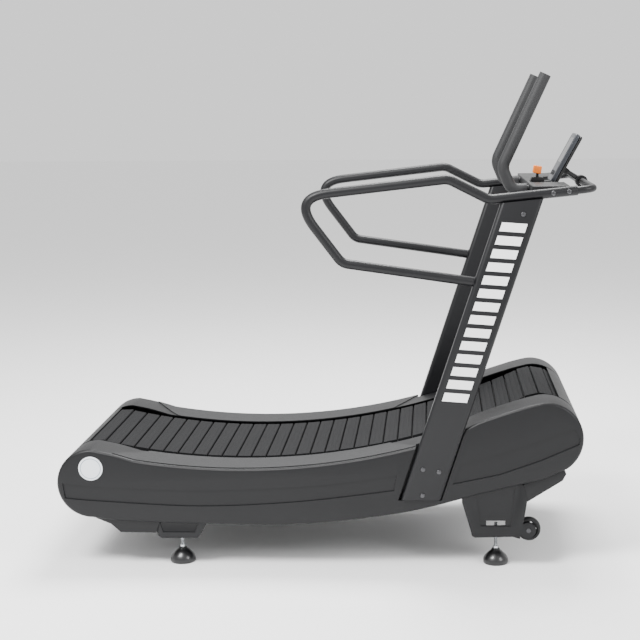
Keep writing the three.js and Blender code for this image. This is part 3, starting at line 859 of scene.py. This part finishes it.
@dataclass
class SlatBelt:
    """Rubber slats on a closed carrier band."""

    course: Course
    width: float = 0.474
    pitch: float = 0.0515
    gap: float = 0.0045
    slat_depth: float = 0.013
    thickness: float = 0.022
    chamfer: float = 0.0022
    groove_depth: float = 0.0007

    def slat(self, run: float) -> bpy.types.Object:
        """One slat about the origin, with chamfered edges and two shallow grooves.

        Args:
            run: Its width along the belt.

        Returns:
            The slat.
        """
        half, foot = (run - self.gap) / 2, -self.slat_depth
        chamfer, groove = self.chamfer, -self.groove_depth
        outline = [(-half, foot), (half, foot), (half, -chamfer), (half - chamfer, 0.0),
                   (0.011, 0.0), (0.009, groove), (0.007, 0.0), (-0.007, 0.0), (-0.009, groove),
                   (-0.011, 0.0), (chamfer - half, 0.0), (-half, -chamfer)]
        return slab(outline, -self.width / 2, self.width / 2)

    def build(self) -> None:
        """Builds the slats and the band under them."""
        count = round(self.course.length / self.pitch)
        pitch = self.course.length / count
        pattern = self.slat(pitch)
        slats = []
        for i in range(count):
            (x, z), heading = self.course.at((i + 0.5) * pitch + self.gap / 2)
            copy = pattern.copy()
            copy.data = pattern.data.copy()
            copy.data.transform(Matrix.Translation((x, 0, z)) @ Matrix.Rotation(-heading, 4, "Y"))
            bpy.context.collection.objects.link(copy)
            slats.append(copy)
        bpy.data.objects.remove(pattern)
        finish_piece(joined(slats), "belt_slats", Finish.BELT, replaces=("slat_belt",), smooth=25)
        half = self.width / 2 - 0.012
        loops = [[self.course.at(self.course.length * i / 360, depth)[0] for i in range(360)]
                 for depth in (self.slat_depth + 0.0004, self.thickness)]
        band = boolean(slab(loops[0], -half, half), slab(loops[1], -0.5, 0.5))
        finish_piece(band, "carrier_band", Finish.DARK, replaces=("slat_belt",))


# ---- covers --------------------------------------------------------------------------------


@dataclass
class SideCover:
    """A moulded shell along one side, with two sunken stripes and the upright's channel."""

    course: Course
    side: Side
    inner: float = 0.262
    outer: float = 0.415
    wall: float = 0.003
    edge: float = 0.011
    stripe_depth: float = 0.0045

    def outline(self, grow: float = 0.0) -> list[Point]:
        """The cover's outline in x and z.

        Args:
            grow: How far it is moved outwards.

        Returns:
            The outline, anticlockwise.
        """
        course, half = self.course, math.pi / 2
        points = arc(*course.rear_round(grow), half, 3 * half, 28)
        knots = [(-0.694, 0.161), (-0.404, 0.151), (-0.084, 0.151),
                 (0.253, 0.190), (0.521, 0.257), (0.731, 0.308)]
        points += spline([points[-1]] + [(x, z - grow) for x, z in knots])
        points += arc(*course.front_round(grow), -0.95, 1.75, 30)
        x, z = points[-1]
        foot, heel = 0.464, -0.644
        points += spline([(x, z), (x - 0.068, z - 0.018), (x - 0.197, z - 0.062),
                          (foot + 0.008, course.height(foot) + 0.012 + grow)])
        stretch = [foot - (foot - heel) * i / 60 for i in range(61)]
        points += [(x, course.height(x) + grow) for x in stretch]
        points += spline([points[-1], (-0.72, 0.394 + grow), points[0]])[:-1]
        return points

    def channel(self, extra: float = 0.0) -> list[Point]:
        """The opening that the upright stands in.

        Args:
            extra: Room added before and behind.

        Returns:
            The outline in x and z.
        """
        lean, half = math.tan(UPRIGHT_LEAN), 0.0668
        low, high = 0.237, 0.56
        behind, ahead = -half - 0.009 - extra, half + 0.003 + extra
        corners = ((low, behind), (low, ahead), (high, ahead), (high, behind))
        return [(UPRIGHT_FOOT[0] + (z - UPRIGHT_FOOT[1]) * lean + offset, z) for z, offset in corners]

    def stripes(self) -> list[list[Point]]:
        """The two sunken bands on the outer face.

        Returns:
            The rear band's outline, then the front band's.
        """
        rear = [(-0.879, 0.240)] + spline([(-0.879, 0.240), (-0.760, 0.230), (-0.421, 0.214), (-0.082, 0.231),
                                          (0.234, 0.270)])
        rear += [(0.244, 0.324)] + spline([(0.244, 0.324), (0.087, 0.301), (-0.082, 0.283), (-0.419, 0.269),
                                          (-0.724, 0.279), (-0.886, 0.292)])
        front = [(0.431, 0.293), (0.587, 0.326), (0.720, 0.373), (0.850, 0.430), (0.852, 0.450),
                 (0.836, 0.482), (0.817, 0.481), (0.719, 0.443), (0.587, 0.398), (0.454, 0.362)]
        return [rear, front]

    def build(self) -> None:
        """Builds the shell."""
        shell = side_slab(self.outline(), self.side, self.inner, self.outer)
        rounded(shell, self.edge, 4, 60)
        for stripe in self.stripes():
            tool = side_slab(stripe, self.side, self.outer - self.stripe_depth, self.outer + 0.02)
            boolean(shell, tool)
        boolean(shell, side_slab(self.channel(), self.side, 0.372, 0.5))
        only(shell)
        bpy.ops.object.mode_set(mode="EDIT")
        bpy.ops.mesh.select_all(action="SELECT")
        cut = Vector((0, self.side.value * (self.inner + self.edge + 0.001), 0))
        bpy.ops.mesh.bisect(plane_co=cut, plane_no=(0, -self.side.value, 0), clear_outer=True)
        bpy.ops.mesh.select_all(action="SELECT")
        bpy.ops.mesh.normals_make_consistent(inside=False)
        bpy.ops.object.mode_set(mode="OBJECT")
        apply(shell, "SOLIDIFY", thickness=self.wall, offset=-1.0)
        name = f"side_cover_shell_{self.side.word}"
        finish_piece(shell, name, Finish.COVER, replaces=(f"side_cover_{self.side.word}",), smooth=24)
        self.tread()

    def tread(self) -> None:
        """The textured step insert on the cover's top."""
        near, far = 0.272, 0.402
        top = [p for p in self.outline(0.0028) if -0.72 < p[0] < 0.33 and p[1] > 0.3]
        low = [p for p in self.outline(0.0004) if -0.72 < p[0] < 0.33 and p[1] > 0.3]
        strip = side_slab(top + low[::-1], self.side, near, far)
        for x, sign, shear in ((-0.394, -1, 0.8), (0.026, 1, -0.7)):
            sawn(strip, (x, 0, 0), Vector((sign, sign * shear * self.side.value, 0)).normalized())
        boolean(strip, side_slab(self.channel(0.001), self.side, 0.366, 0.5))
        rounded(strip, 0.0008, 1, 50)
        name = f"step_tread_{self.side.word}"
        finish_piece(strip, f"{name}_pips", Finish.TREAD, replaces=(name,), smooth=20)


@dataclass
class Hoods:
    """The curved caps over the belt's front and rear bends."""

    course: Course
    half: float = 0.2615
    wall: float = 0.0025

    def build(self) -> None:
        """Builds both hoods."""
        front, rear = self.course.front_round(), self.course.rear_round()
        caps = (("front_hood", front, -0.9, 1.13), ("rear_hood", rear, 1.92, 4.1))
        for name, (x, z, radius), start, stop in caps:
            outline = arc(x, z, radius, start, stop, 36) + arc(x, z, radius - self.wall, stop, start, 36)
            hood = rounded(slab(outline, -self.half, self.half), 0.0009, 2, 50)
            finish_piece(hood, f"{name}_cap", Finish.COVER, replaces=(name,), smooth=20)


@dataclass
class BellyPans:
    """The shallow trays under the covers, run back to meet the legs and the rear brackets."""

    half: float = 0.403
    edge: float = 0.003

    def build(self) -> None:
        """Builds both trays."""
        front = [(0.664, 0.222), (0.686, 0.233), (0.797, 0.303),
                 (0.810, 0.327), (0.796, 0.345), (0.664, 0.290)]
        rear = [(-0.780, 0.190), (-0.780, 0.168), (-0.729, 0.147), (-0.696, 0.118), (-0.574, 0.117),
                (-0.560, 0.160), (-0.600, 0.185)]
        for name, outline in (("belly_pan_front", front), ("belly_pan_rear", rear)):
            tray = rounded(slab(outline, -self.half, self.half), self.edge, 3, 30)
            finish_piece(tray, f"{name}_tray", Finish.COVER, replaces=(name,))


@dataclass
class Badge:
    """A plain round badge at the cover's rear corner."""

    side: Side
    centre: Point = (-0.788, 0.344)
    radius: float = 0.041

    def build(self) -> None:
        """Builds the badge."""
        thickness, rim = 0.0022, 0.0012
        profile = [(0, 0), (self.radius, 0), (self.radius, rim), (self.radius - 0.0014, thickness),
                   (0, thickness)]
        turn = across(self.centre[0], self.side.value * 0.4151, self.centre[1])
        if self.side is Side.RIGHT:
            turn = turn @ Matrix.Rotation(math.pi, 4, "X")
        finish = RingBadge(self.centre, self.radius)
        finish_piece(turned(profile, turn, 64), f"ring_badge_{self.side.word}", finish)


# ---- legs and ground contact ---------------------------------------------------------------


@dataclass
class Leg:
    """A moulded front leg with a sunken panel, a window and a lug for the transport wheel."""

    side: Side
    near: float = 0.296
    far: float = 0.405
    wheel: Point = (0.687, 0.131)
    wheel_radius: float = 0.04

    def build(self) -> None:
        """Builds the leg, its wheel and the rear bracket."""
        body = [(0.461, 0.229), (0.492, 0.125)] + arc(0.508, 0.122, 0.016, -2.6, -1.57, 5)
        body += [(0.632, 0.109), (0.656, 0.102), (0.670, 0.171), (0.680, 0.237), (0.668, 0.285),
                 (0.616, 0.330), (0.616, 0.400), (0.496, 0.400)]
        leg = side_slab(body, self.side, self.near, self.far)
        x, z = self.wheel
        boolean(leg, side_slab(disc(x - 0.004, z, 0.027, 40), self.side, self.far - 0.010, self.far), "UNION")
        arch = disc(x, z, self.wheel_radius + 0.004, 40)
        boolean(leg, side_slab(arch, self.side, self.far - 0.045, self.far - 0.010))
        hollow = [(0.470, 0.235), (0.500, 0.129), (0.514, 0.115), (0.628, 0.116), (0.648, 0.112),
                  (0.662, 0.171), (0.672, 0.237), (0.648, 0.390), (0.504, 0.390)]
        boolean(leg, side_slab(hollow, self.side, self.near - 0.02, self.far - 0.05))
        pocket = [(0.506, 0.235), (0.522, 0.129), (0.628, 0.129), (0.628, 0.235)]
        boolean(leg, side_slab(pocket, self.side, self.far - 0.06, self.far - 0.007))
        panel = [(0.500, 0.300), (0.525, 0.146), (0.625, 0.145), (0.641, 0.300)]
        boolean(leg, side_slab(panel, self.side, self.far - 0.004, self.far + 0.02))
        window = [(0.543, 0.147), (0.607, 0.147), (0.607, 0.164), (0.543, 0.164)]
        boolean(leg, side_slab(window, self.side, 0.2, 0.6))
        rounded(leg, 0.0022, 2, 40)
        word = self.side.word
        finish_piece(leg, f"front_leg_shell_{word}", Finish.COVER, replaces=(f"front_leg_{word}",))
        self.bracket()
        self.transport_wheel()

    def bracket(self) -> None:
        """The rear foot's bracket, with its sunken face."""
        outline = [(-0.586, 0.160), (-0.569, 0.104), (-0.557, 0.096), (-0.438, 0.096), (-0.428, 0.104),
                   (-0.402, 0.152), (-0.404, 0.290), (-0.584, 0.290)]
        body = side_slab(outline, self.side, self.near, self.far - 0.008)
        panel = [(-0.568, 0.170), (-0.552, 0.118), (-0.444, 0.118), (-0.424, 0.170)]
        boolean(body, side_slab(panel, self.side, self.far - 0.012, self.far + 0.02))
        rounded(body, 0.0025, 2, 40)
        word = self.side.word
        finish_piece(body, f"rear_bracket_{word}", Finish.PAINT, replaces=(f"rear_foot_bracket_{word}",))

    def transport_wheel(self) -> None:
        """The wheel: a rounded tyre on a spoked hub."""
        x, z = self.wheel
        middle = self.side.value * (self.far - 0.026)
        half, radius = 0.014, self.wheel_radius
        profile = [(0.0063, -half), (0.013, -half), (0.014, -0.006), (0.029, -0.006), (0.030, -half),
                   (radius - 0.004, -half), (radius - 0.001, -half + 0.004), (radius, 0),
                   (radius - 0.001, half - 0.004), (radius - 0.004, half), (0.030, half), (0.029, 0.006),
                   (0.014, 0.006), (0.013, half), (0.0063, half)]
        wheel = turned(profile, across(x, middle, z), 56)
        for i in range(5):
            turn = 2 * math.pi * i / 5
            hole = disc(x + 0.0215 * math.cos(turn), z + 0.0215 * math.sin(turn), 0.0056, 20)
            boolean(wheel, slab(hole, middle - 0.03, middle + 0.03))
        word = self.side.word
        finish_piece(wheel, f"transport_wheel_{word}_spoked", Finish.RUBBER, f"wheel_{word}",
                     (f"transport_wheel_{word}",))


@dataclass
class Foot:
    """A levelling foot: a glossy bell pad, a zinc stud and its nuts."""

    side: Side
    end: str
    pad_radius: float = 0.043
    pad_height: float = 0.050

    def build(self) -> None:
        """Builds the pad and the stud over their nodes."""
        word = f"{self.end}_{self.side.word}"
        pad, stud = (f"foot_{piece}_{self.end}_{self.side.word}" for piece in ("pad", "stud"))
        low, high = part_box(pad)
        x, y = (low.x + high.x) / 2, (low.y + high.y) / 2
        at = Matrix.Translation((x, y, 0))
        r = self.pad_radius
        bell = [(0, 0), (r - 0.002, 0), (r, 0.003), (r, 0.008)]
        bell += spline([(r, 0.008), (r - 0.0015, 0.016), (r - 0.007, 0.026), (0.027, 0.036), (0.018, 0.0435),
                        (0.013, self.pad_height)], 6)
        bell += [(0, self.pad_height)]
        finish_piece(turned(bell, at, 64), f"{pad}_bell", Finish.GLOSS, f"foot_{word}", (pad,), 40)
        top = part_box(stud)[1].z
        rod: list[Point] = [(0, self.pad_height + 0.0003)]
        pitch = 0.00175
        turns = int((top - self.pad_height) / pitch)
        for i in range(turns):
            z = self.pad_height + 0.0004 + i * pitch
            rod += [(0.0052, z), (0.006, z + pitch / 2)]
        rod += [(0.0052, top), (0, top)]
        pieces = [turned(rod, at, 24)]
        for z, size, height in ((self.pad_height + 0.0003, 0.010, 0.0087), (top - 0.048, 0.011, 0.010)):
            corners = [(size * math.cos(t * math.pi / 3), size * math.sin(t * math.pi / 3)) for t in range(6)]
            nut = prism(corners, height, Matrix.Translation((x, y, z)))
            pieces.append(rounded(nut, 0.0009, 2, 25))
        finish_piece(joined(pieces), f"{stud}_threaded", Finish.ZINC, f"foot_{word}", (stud,), 40)


# ---- uprights, rails and handles -----------------------------------------------------------


@dataclass
class Bolt:
    """A button-head screw with a hex socket."""

    radius: float = 0.0078
    height: float = 0.0038

    def build(self, place: Matrix) -> bpy.types.Object:
        """Builds one screw head.

        Args:
            place: From its own space, head along +Z, to the frame.

        Returns:
            The screw head.
        """
        dome = [(0, -0.002), (self.radius, -0.002), (self.radius, 0.0006)]
        dome += spline([(self.radius, 0.0006), (self.radius * 0.8, self.height * 0.75), (0, self.height)], 4)
        head = turned(dome, Matrix.Identity(4), 24)
        socket = [(0.0034 * math.cos(t * math.pi / 3), 0.0034 * math.sin(t * math.pi / 3)) for t in range(6)]
        boolean(head, prism(socket, 0.01, Matrix.Translation((0, 0, 0.0012))))
        head.data.transform(place)
        return head


@dataclass
class Post:
    """One upright with its rail, screws and the plain white bars down its outer face."""

    side: Side
    width: float = 0.127
    thickness: float = 0.044
    corner: float = 0.013
    offset: float = 0.403
    rail_radius: float = 0.016

    def axis(self) -> Matrix:
        """From the upright's own space, Z along it, to the frame."""
        place = Matrix.Translation((UPRIGHT_FOOT[0], self.side.value * self.offset, UPRIGHT_FOOT[1]))
        return place @ Matrix.Rotation(UPRIGHT_LEAN, 4, "Y")

    def build(self) -> None:
        """Builds the upright and everything fixed to it."""
        section = rounded_rect(self.width, self.thickness, self.corner, 8)
        body = prism(section, 1.2, self.axis() @ Matrix.Translation((0, 0, -0.03)))
        top = rail_height(0) - self.rail_radius + 0.002
        sawn(body, (0, 0, UPRIGHT_FOOT[1]), (0, 0, -1))
        sawn(body, (0, 0, top), Vector((-RAIL_SLOPE, 0, 1)).normalized())
        word = self.side.word
        rounded(body, 0.0012, 2, 50)
        finish_piece(body, f"upright_tube_{word}", Finish.PAINT, replaces=(f"upright_{word}",))
        self.rail()
        self.screws()
        self.bars()

    def rail(self) -> None:
        """The looped handrail."""
        y = self.side.value * self.offset
        corners = [RAIL_END, (0.546, 1.242), (0.413, 1.309),
                   (-0.095, 1.251), (0.067, 1.036), (0.526, 0.970)]
        path = bent([Vector((x, y, z)) for x, z in corners], [0.06, 0.06, 0.07, 0.05], 16)
        word = self.side.word
        rail = tube(path, self.rail_radius, 8)
        rounded(rail, 0.0012, 2, 60)
        finish_piece(rail, f"handrail_tube_{word}", Finish.PAINT, replaces=(f"handrail_{word}",), smooth=40)
        start, stop = corners[-2:]
        along = Vector((stop[0] - start[0], 0, stop[1] - start[1])).normalized()
        seat = Matrix.Translation((0.501, y, 0.9735)) @ along.to_track_quat("Z", "Y").to_matrix().to_4x4()
        weld = turned([(0.0155, -0.003), (0.0205, 0), (0.0155, 0.004)], seat, 40)
        finish_piece(weld, f"rail_weld_{word}", Finish.PAINT)

    def screws(self) -> None:
        """Screws at the foot and top of the upright and in the rail's front end."""
        side = self.side.value
        face = side * (self.offset + self.thickness / 2)
        turn = Matrix.Rotation(-side * math.pi / 2, 4, "X")
        heads = [Matrix.Translation((x, face, z)) @ turn
                 for x, z in ((0.331, 0.347), (0.384, 0.338), (0.329, 0.257), (0.656, 1.196))]
        rail_face = side * (self.offset + self.rail_radius - 0.0006)
        heads += [Matrix.Translation((x, rail_face, rail_height(x))) @ turn for x in (0.752, 0.803)]
        heads.append(Matrix.Translation((0.685, side * 0.405, 0.131)) @ turn)
        screws = joined([Bolt().build(place) for place in heads])
        finish_piece(screws, f"screws_{self.side.word}", Finish.SCREW, smooth=40)

    def bars(self) -> None:
        """One even run of plain slanted white bars down the outer face."""
        lift = self.side.value * (self.thickness / 2 + 0.0003)
        half, tall, slant = 0.040, 0.030, 0.020
        count, pitch, start = 14, 0.0455, 0.345
        bars = []
        for i in range(count):
            low = start + i * pitch
            corners = [(-half, low), (half, low + slant), (half, low + slant + tall), (-half, low + tall)]
            place = self.axis() @ Matrix.Translation((0, lift, 0)) @ UPRIGHT_PLANE
            bars.append(prism(corners, 0.0005 * -self.side.value, place))
        finish_piece(joined(bars), f"upright_bars_{self.side.word}", Finish.VINYL)


@dataclass
class Handles:
    """The front cross tube and the two tall foam handles."""

    handle_y: float = 0.230
    core: float = 0.0125
    grip: float = 0.0195

    def build(self) -> None:
        """Builds the cross tube and both handles."""
        ends = [(0.741, -0.403), (0.885, -0.403), (0.885, 0.403), (0.741, 0.403)]
        path = bent([Vector((x, y, rail_height(x))) for x, y in ends], [0.045, 0.045], 18)
        cross = tube(path, self.core)
        finish_piece(cross, "cross_tube", Finish.PAINT, replaces=("front_cross_tube",), smooth=40)
        for side in Side:
            y = side.value * self.handle_y
            line = ((0.734, 1.637), (0.596, 1.338), (0.628, 1.262), (0.680, 1.2646))
            corners = [Vector((x, y, z)) for x, z in line]
            tip = corners[0] + (corners[0] - corners[1]).normalized() * 0.008
            sleeve = tube(bent([tip, *corners[1:]], [0.055, 0.04], 18), self.grip, 12)
            rounded(sleeve, 0.0065, 4, 60)
            word = side.word
            finish_piece(sleeve, f"foam_grip_{word}", Finish.FOAM, replaces=(f"grip_{word}",), smooth=45)


# ---- console, lever and display ------------------------------------------------------------


@dataclass
class Console:
    """The tray between the rails, the resistance lever and its housing."""

    half: float = 0.3867

    def build(self) -> None:
        """Builds the tray, the lever housing and the lever's grip."""
        outline = [(0.686, 1.252), (0.692, 1.250), (0.811, 1.260), (0.811, 1.284), (0.686, 1.284)]
        tray = slab(outline, -self.half, self.half)
        for low, high, floor, rear in ((-0.170, 0.170, 1.272, 0.748), (-0.084, 0.084, 1.2, 0.738)):
            boolean(tray, slab([(rear, floor), (0.83, floor), (0.83, 1.3), (rear, 1.3)], low, high))
        rounded(tray, 0.003, 3, 40)
        finish_piece(tray, "console_deck", Finish.COVER, replaces=("console_tray",))
        shell = slab([(0.696, 1.2843), (0.746, 1.2843), (0.741, 1.2985), (0.702, 1.2995)], -0.154, -0.106)
        boolean(shell, slab([(0.704, 1.27), (0.738, 1.27), (0.738, 1.31), (0.704, 1.31)], -0.136, -0.124))
        rounded(shell, 0.0018, 3, 40)
        finish_piece(shell, "lever_block", Finish.DARK, replaces=("lever_housing",))
        knob = slab([(-0.014, -0.013), (0.014, -0.013), (0.014, 0.013), (-0.014, 0.013)], -0.0165, 0.0165)
        rounded(knob, 0.003, 3, 40)
        for i in range(3):
            x = (i - 1) * 0.0065
            outline = [(x - 0.001, 0.0115), (x + 0.001, 0.0115), (x + 0.001, 0.02), (x - 0.001, 0.02)]
            boolean(knob, slab(outline, -0.1, 0.1))
        lean = Matrix.Rotation(math.radians(10), 4, "Y")
        knob.data.transform(Matrix.Translation((0.721, -0.130, 1.3245)) @ lean)
        finish_piece(knob, "lever_knob", Finish.ORANGE, "lever", ("lever_grip",))


@dataclass
class Display:
    """The tilting display: a pale front shell, a black back shell and a sunken window."""

    centre: Point = (0.827, 1.356)
    tilt: float = math.radians(28.5)
    width: float = 0.150
    height: float = 0.186
    depth: float = 0.026

    def place(self, depth: float) -> Matrix:
        """From the face's drawing plane to the frame, at a depth from the display's middle."""
        plane = Matrix(((0, 0, 1, depth), (1, 0, 0, 0), (0, 1, 0, 0), (0, 0, 0, 1)))
        turn = Matrix.Rotation(self.tilt, 4, "Y")
        return Matrix.Translation((self.centre[0], 0, self.centre[1])) @ turn @ plane

    def build(self) -> None:
        """Builds both shells."""
        front, split = -self.depth / 2, 0.002
        face = rounded_rect(self.width, self.height, 0.014, 8)
        shell = rounded(prism(face, split - front, self.place(front)), 0.0035, 4, 60)
        window = [(y, z + 0.028) for y, z in rounded_rect(0.118, 0.096, 0.005, 4)]
        boolean(shell, prism(window, 0.004, self.place(front - 0.001)))
        for y in (-0.04, 0.0, 0.04):
            bore = disc(y, -0.062, 0.0094, 32)
            boolean(shell, prism(bore, 0.007, self.place(front - 0.001)))
        finish_piece(shell, "display_front", Finish.GREY, "display", ("display_housing",))
        seam = 0.0006
        back_face = rounded_rect(self.width - 0.003, self.height - 0.003, 0.013, 8)
        back = prism(back_face, self.depth / 2 - split - seam, self.place(split + seam))
        rear = rounded(back, 0.006, 4, 60)
        ears = []
        local_x, local_z = self.depth / 2 + 0.014, -0.036
        for y in (-0.017, 0.011):
            root = self.depth / 2 - 0.002
            outline = [(root, local_z - 0.012), (local_x, local_z - 0.009), (local_x + 0.009, local_z),
                       (local_x, local_z + 0.009), (root, local_z + 0.012)]
            ear = slab(outline, y, y + 0.006)
            middle = Matrix.Translation((self.centre[0], 0, self.centre[1]))
            ear.data.transform(middle @ Matrix.Rotation(self.tilt, 4, "Y"))
            ears.append(rounded(ear, 0.0008, 1, 40))
        finish_piece(joined([rear, *ears]), "display_back", Finish.DARK, "display", ("display_housing",))


# ---- frame nodes that stay, the set and the main function ----------------------------------

KEPT = {
    Finish.PAINT: ("frame_rail", "crossmember", "handle_", "magnet_carrier", "display_bracket",
                   "resistance_lever"),
    Finish.STEEL: ("roller_rail", "drum", "axle", "brake_disc", "bearing"),
    Finish.GLASS: ("display_window",),
    Finish.RUBBER: ("display_button",),
}


def dress_frame(nodes: dict[str, bpy.types.Object]) -> None:
    """Gives the frame's own visible nodes their finishes.

    Args:
        nodes: The frame's nodes by name.
    """
    for finish, words in KEPT.items():
        for name, obj in nodes.items():
            if any(word in name for word in words):
                obj.data.materials.clear()
                obj.data.materials.append(material(finish))


@dataclass
class Studio:
    """A pale floor, a white surround, soft lights and the camera."""

    place: tuple[float, float, float] = (0.359, -4.9165, 1.5761)
    heading: float = 2.14
    dip: float = 9.158
    roll: float = -0.395
    lens: float = 78.195
    shift: float = -0.09375

    def camera(self) -> None:
        """Makes the camera."""
        data = bpy.data.cameras.new("camera")
        data.lens, data.sensor_width, data.shift_x = self.lens, 36.0, self.shift
        obj = bpy.data.objects.new("camera", data)
        turn = Matrix.Rotation(math.radians(self.heading), 4, "Z")
        turn = turn @ Matrix.Rotation(math.radians(90 - self.dip), 4, "X")
        turn = turn @ Matrix.Rotation(math.radians(self.roll), 4, "Z")
        obj.matrix_world = Matrix.Translation(self.place) @ turn
        bpy.context.collection.objects.link(obj)
        bpy.context.scene.camera = obj

    def light(self, name: str, place: tuple[float, float, float], size: float, power: float) -> None:
        """Adds an area light aimed at the treadmill.

        Args:
            name: The light's name.
            place: Where it hangs.
            size: Its width.
            power: In watts.
        """
        data = bpy.data.lights.new(name, "AREA")
        data.energy, data.size = power, size
        obj = bpy.data.objects.new(name, data)
        aim = Vector((0, 0, 0.6)) - Vector(place)
        obj.matrix_world = Matrix.Translation(place) @ aim.to_track_quat("-Z", "Y").to_matrix().to_4x4()
        bpy.context.collection.objects.link(obj)

    def build(self) -> None:
        """Makes the whole set."""
        self.camera()
        bpy.ops.object.select_all(action="DESELECT")
        bpy.ops.mesh.primitive_plane_add(size=60)
        floor = bpy.context.active_object
        floor.name = "studio_floor"
        floor.data.materials.append(Grained("floor", (0.94, 0.94, 0.94), 0.8, 40.0, 0.0, mottle=0.004).make())
        world = bpy.data.worlds.new("surround")
        world.use_nodes = True
        world.node_tree.nodes["Background"].inputs[0].default_value = (1, 1, 1, 1)
        world.node_tree.nodes["Background"].inputs[1].default_value = 1.15
        bpy.context.scene.world = world
        self.light("key", (-2.0, -2.6, 4.4), 1.8, 420)
        self.light("fill", (3.4, -2.4, 2.6), 1.6, 90)
        self.light("top", (0.4, 1.6, 4.4), 2.0, 330)


def main() -> None:
    """Builds the treadmill's looks in order."""
    logging.basicConfig(level=logging.INFO, format="%(message)s")
    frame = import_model()
    Studio().build()
    dress_frame(frame["nodes"])
    course = Course()
    SlatBelt(course).build()
    Hoods(course).build()
    BellyPans().build()
    for side in Side:
        SideCover(course, side).build()
        Badge(side).build()
        Leg(side).build()
        Post(side).build()
        for end in ("front", "rear"):
            Foot(side, end).build()
    Handles().build()
    Console().build()
    Display().build()


if __name__ == "__main__":
    main()
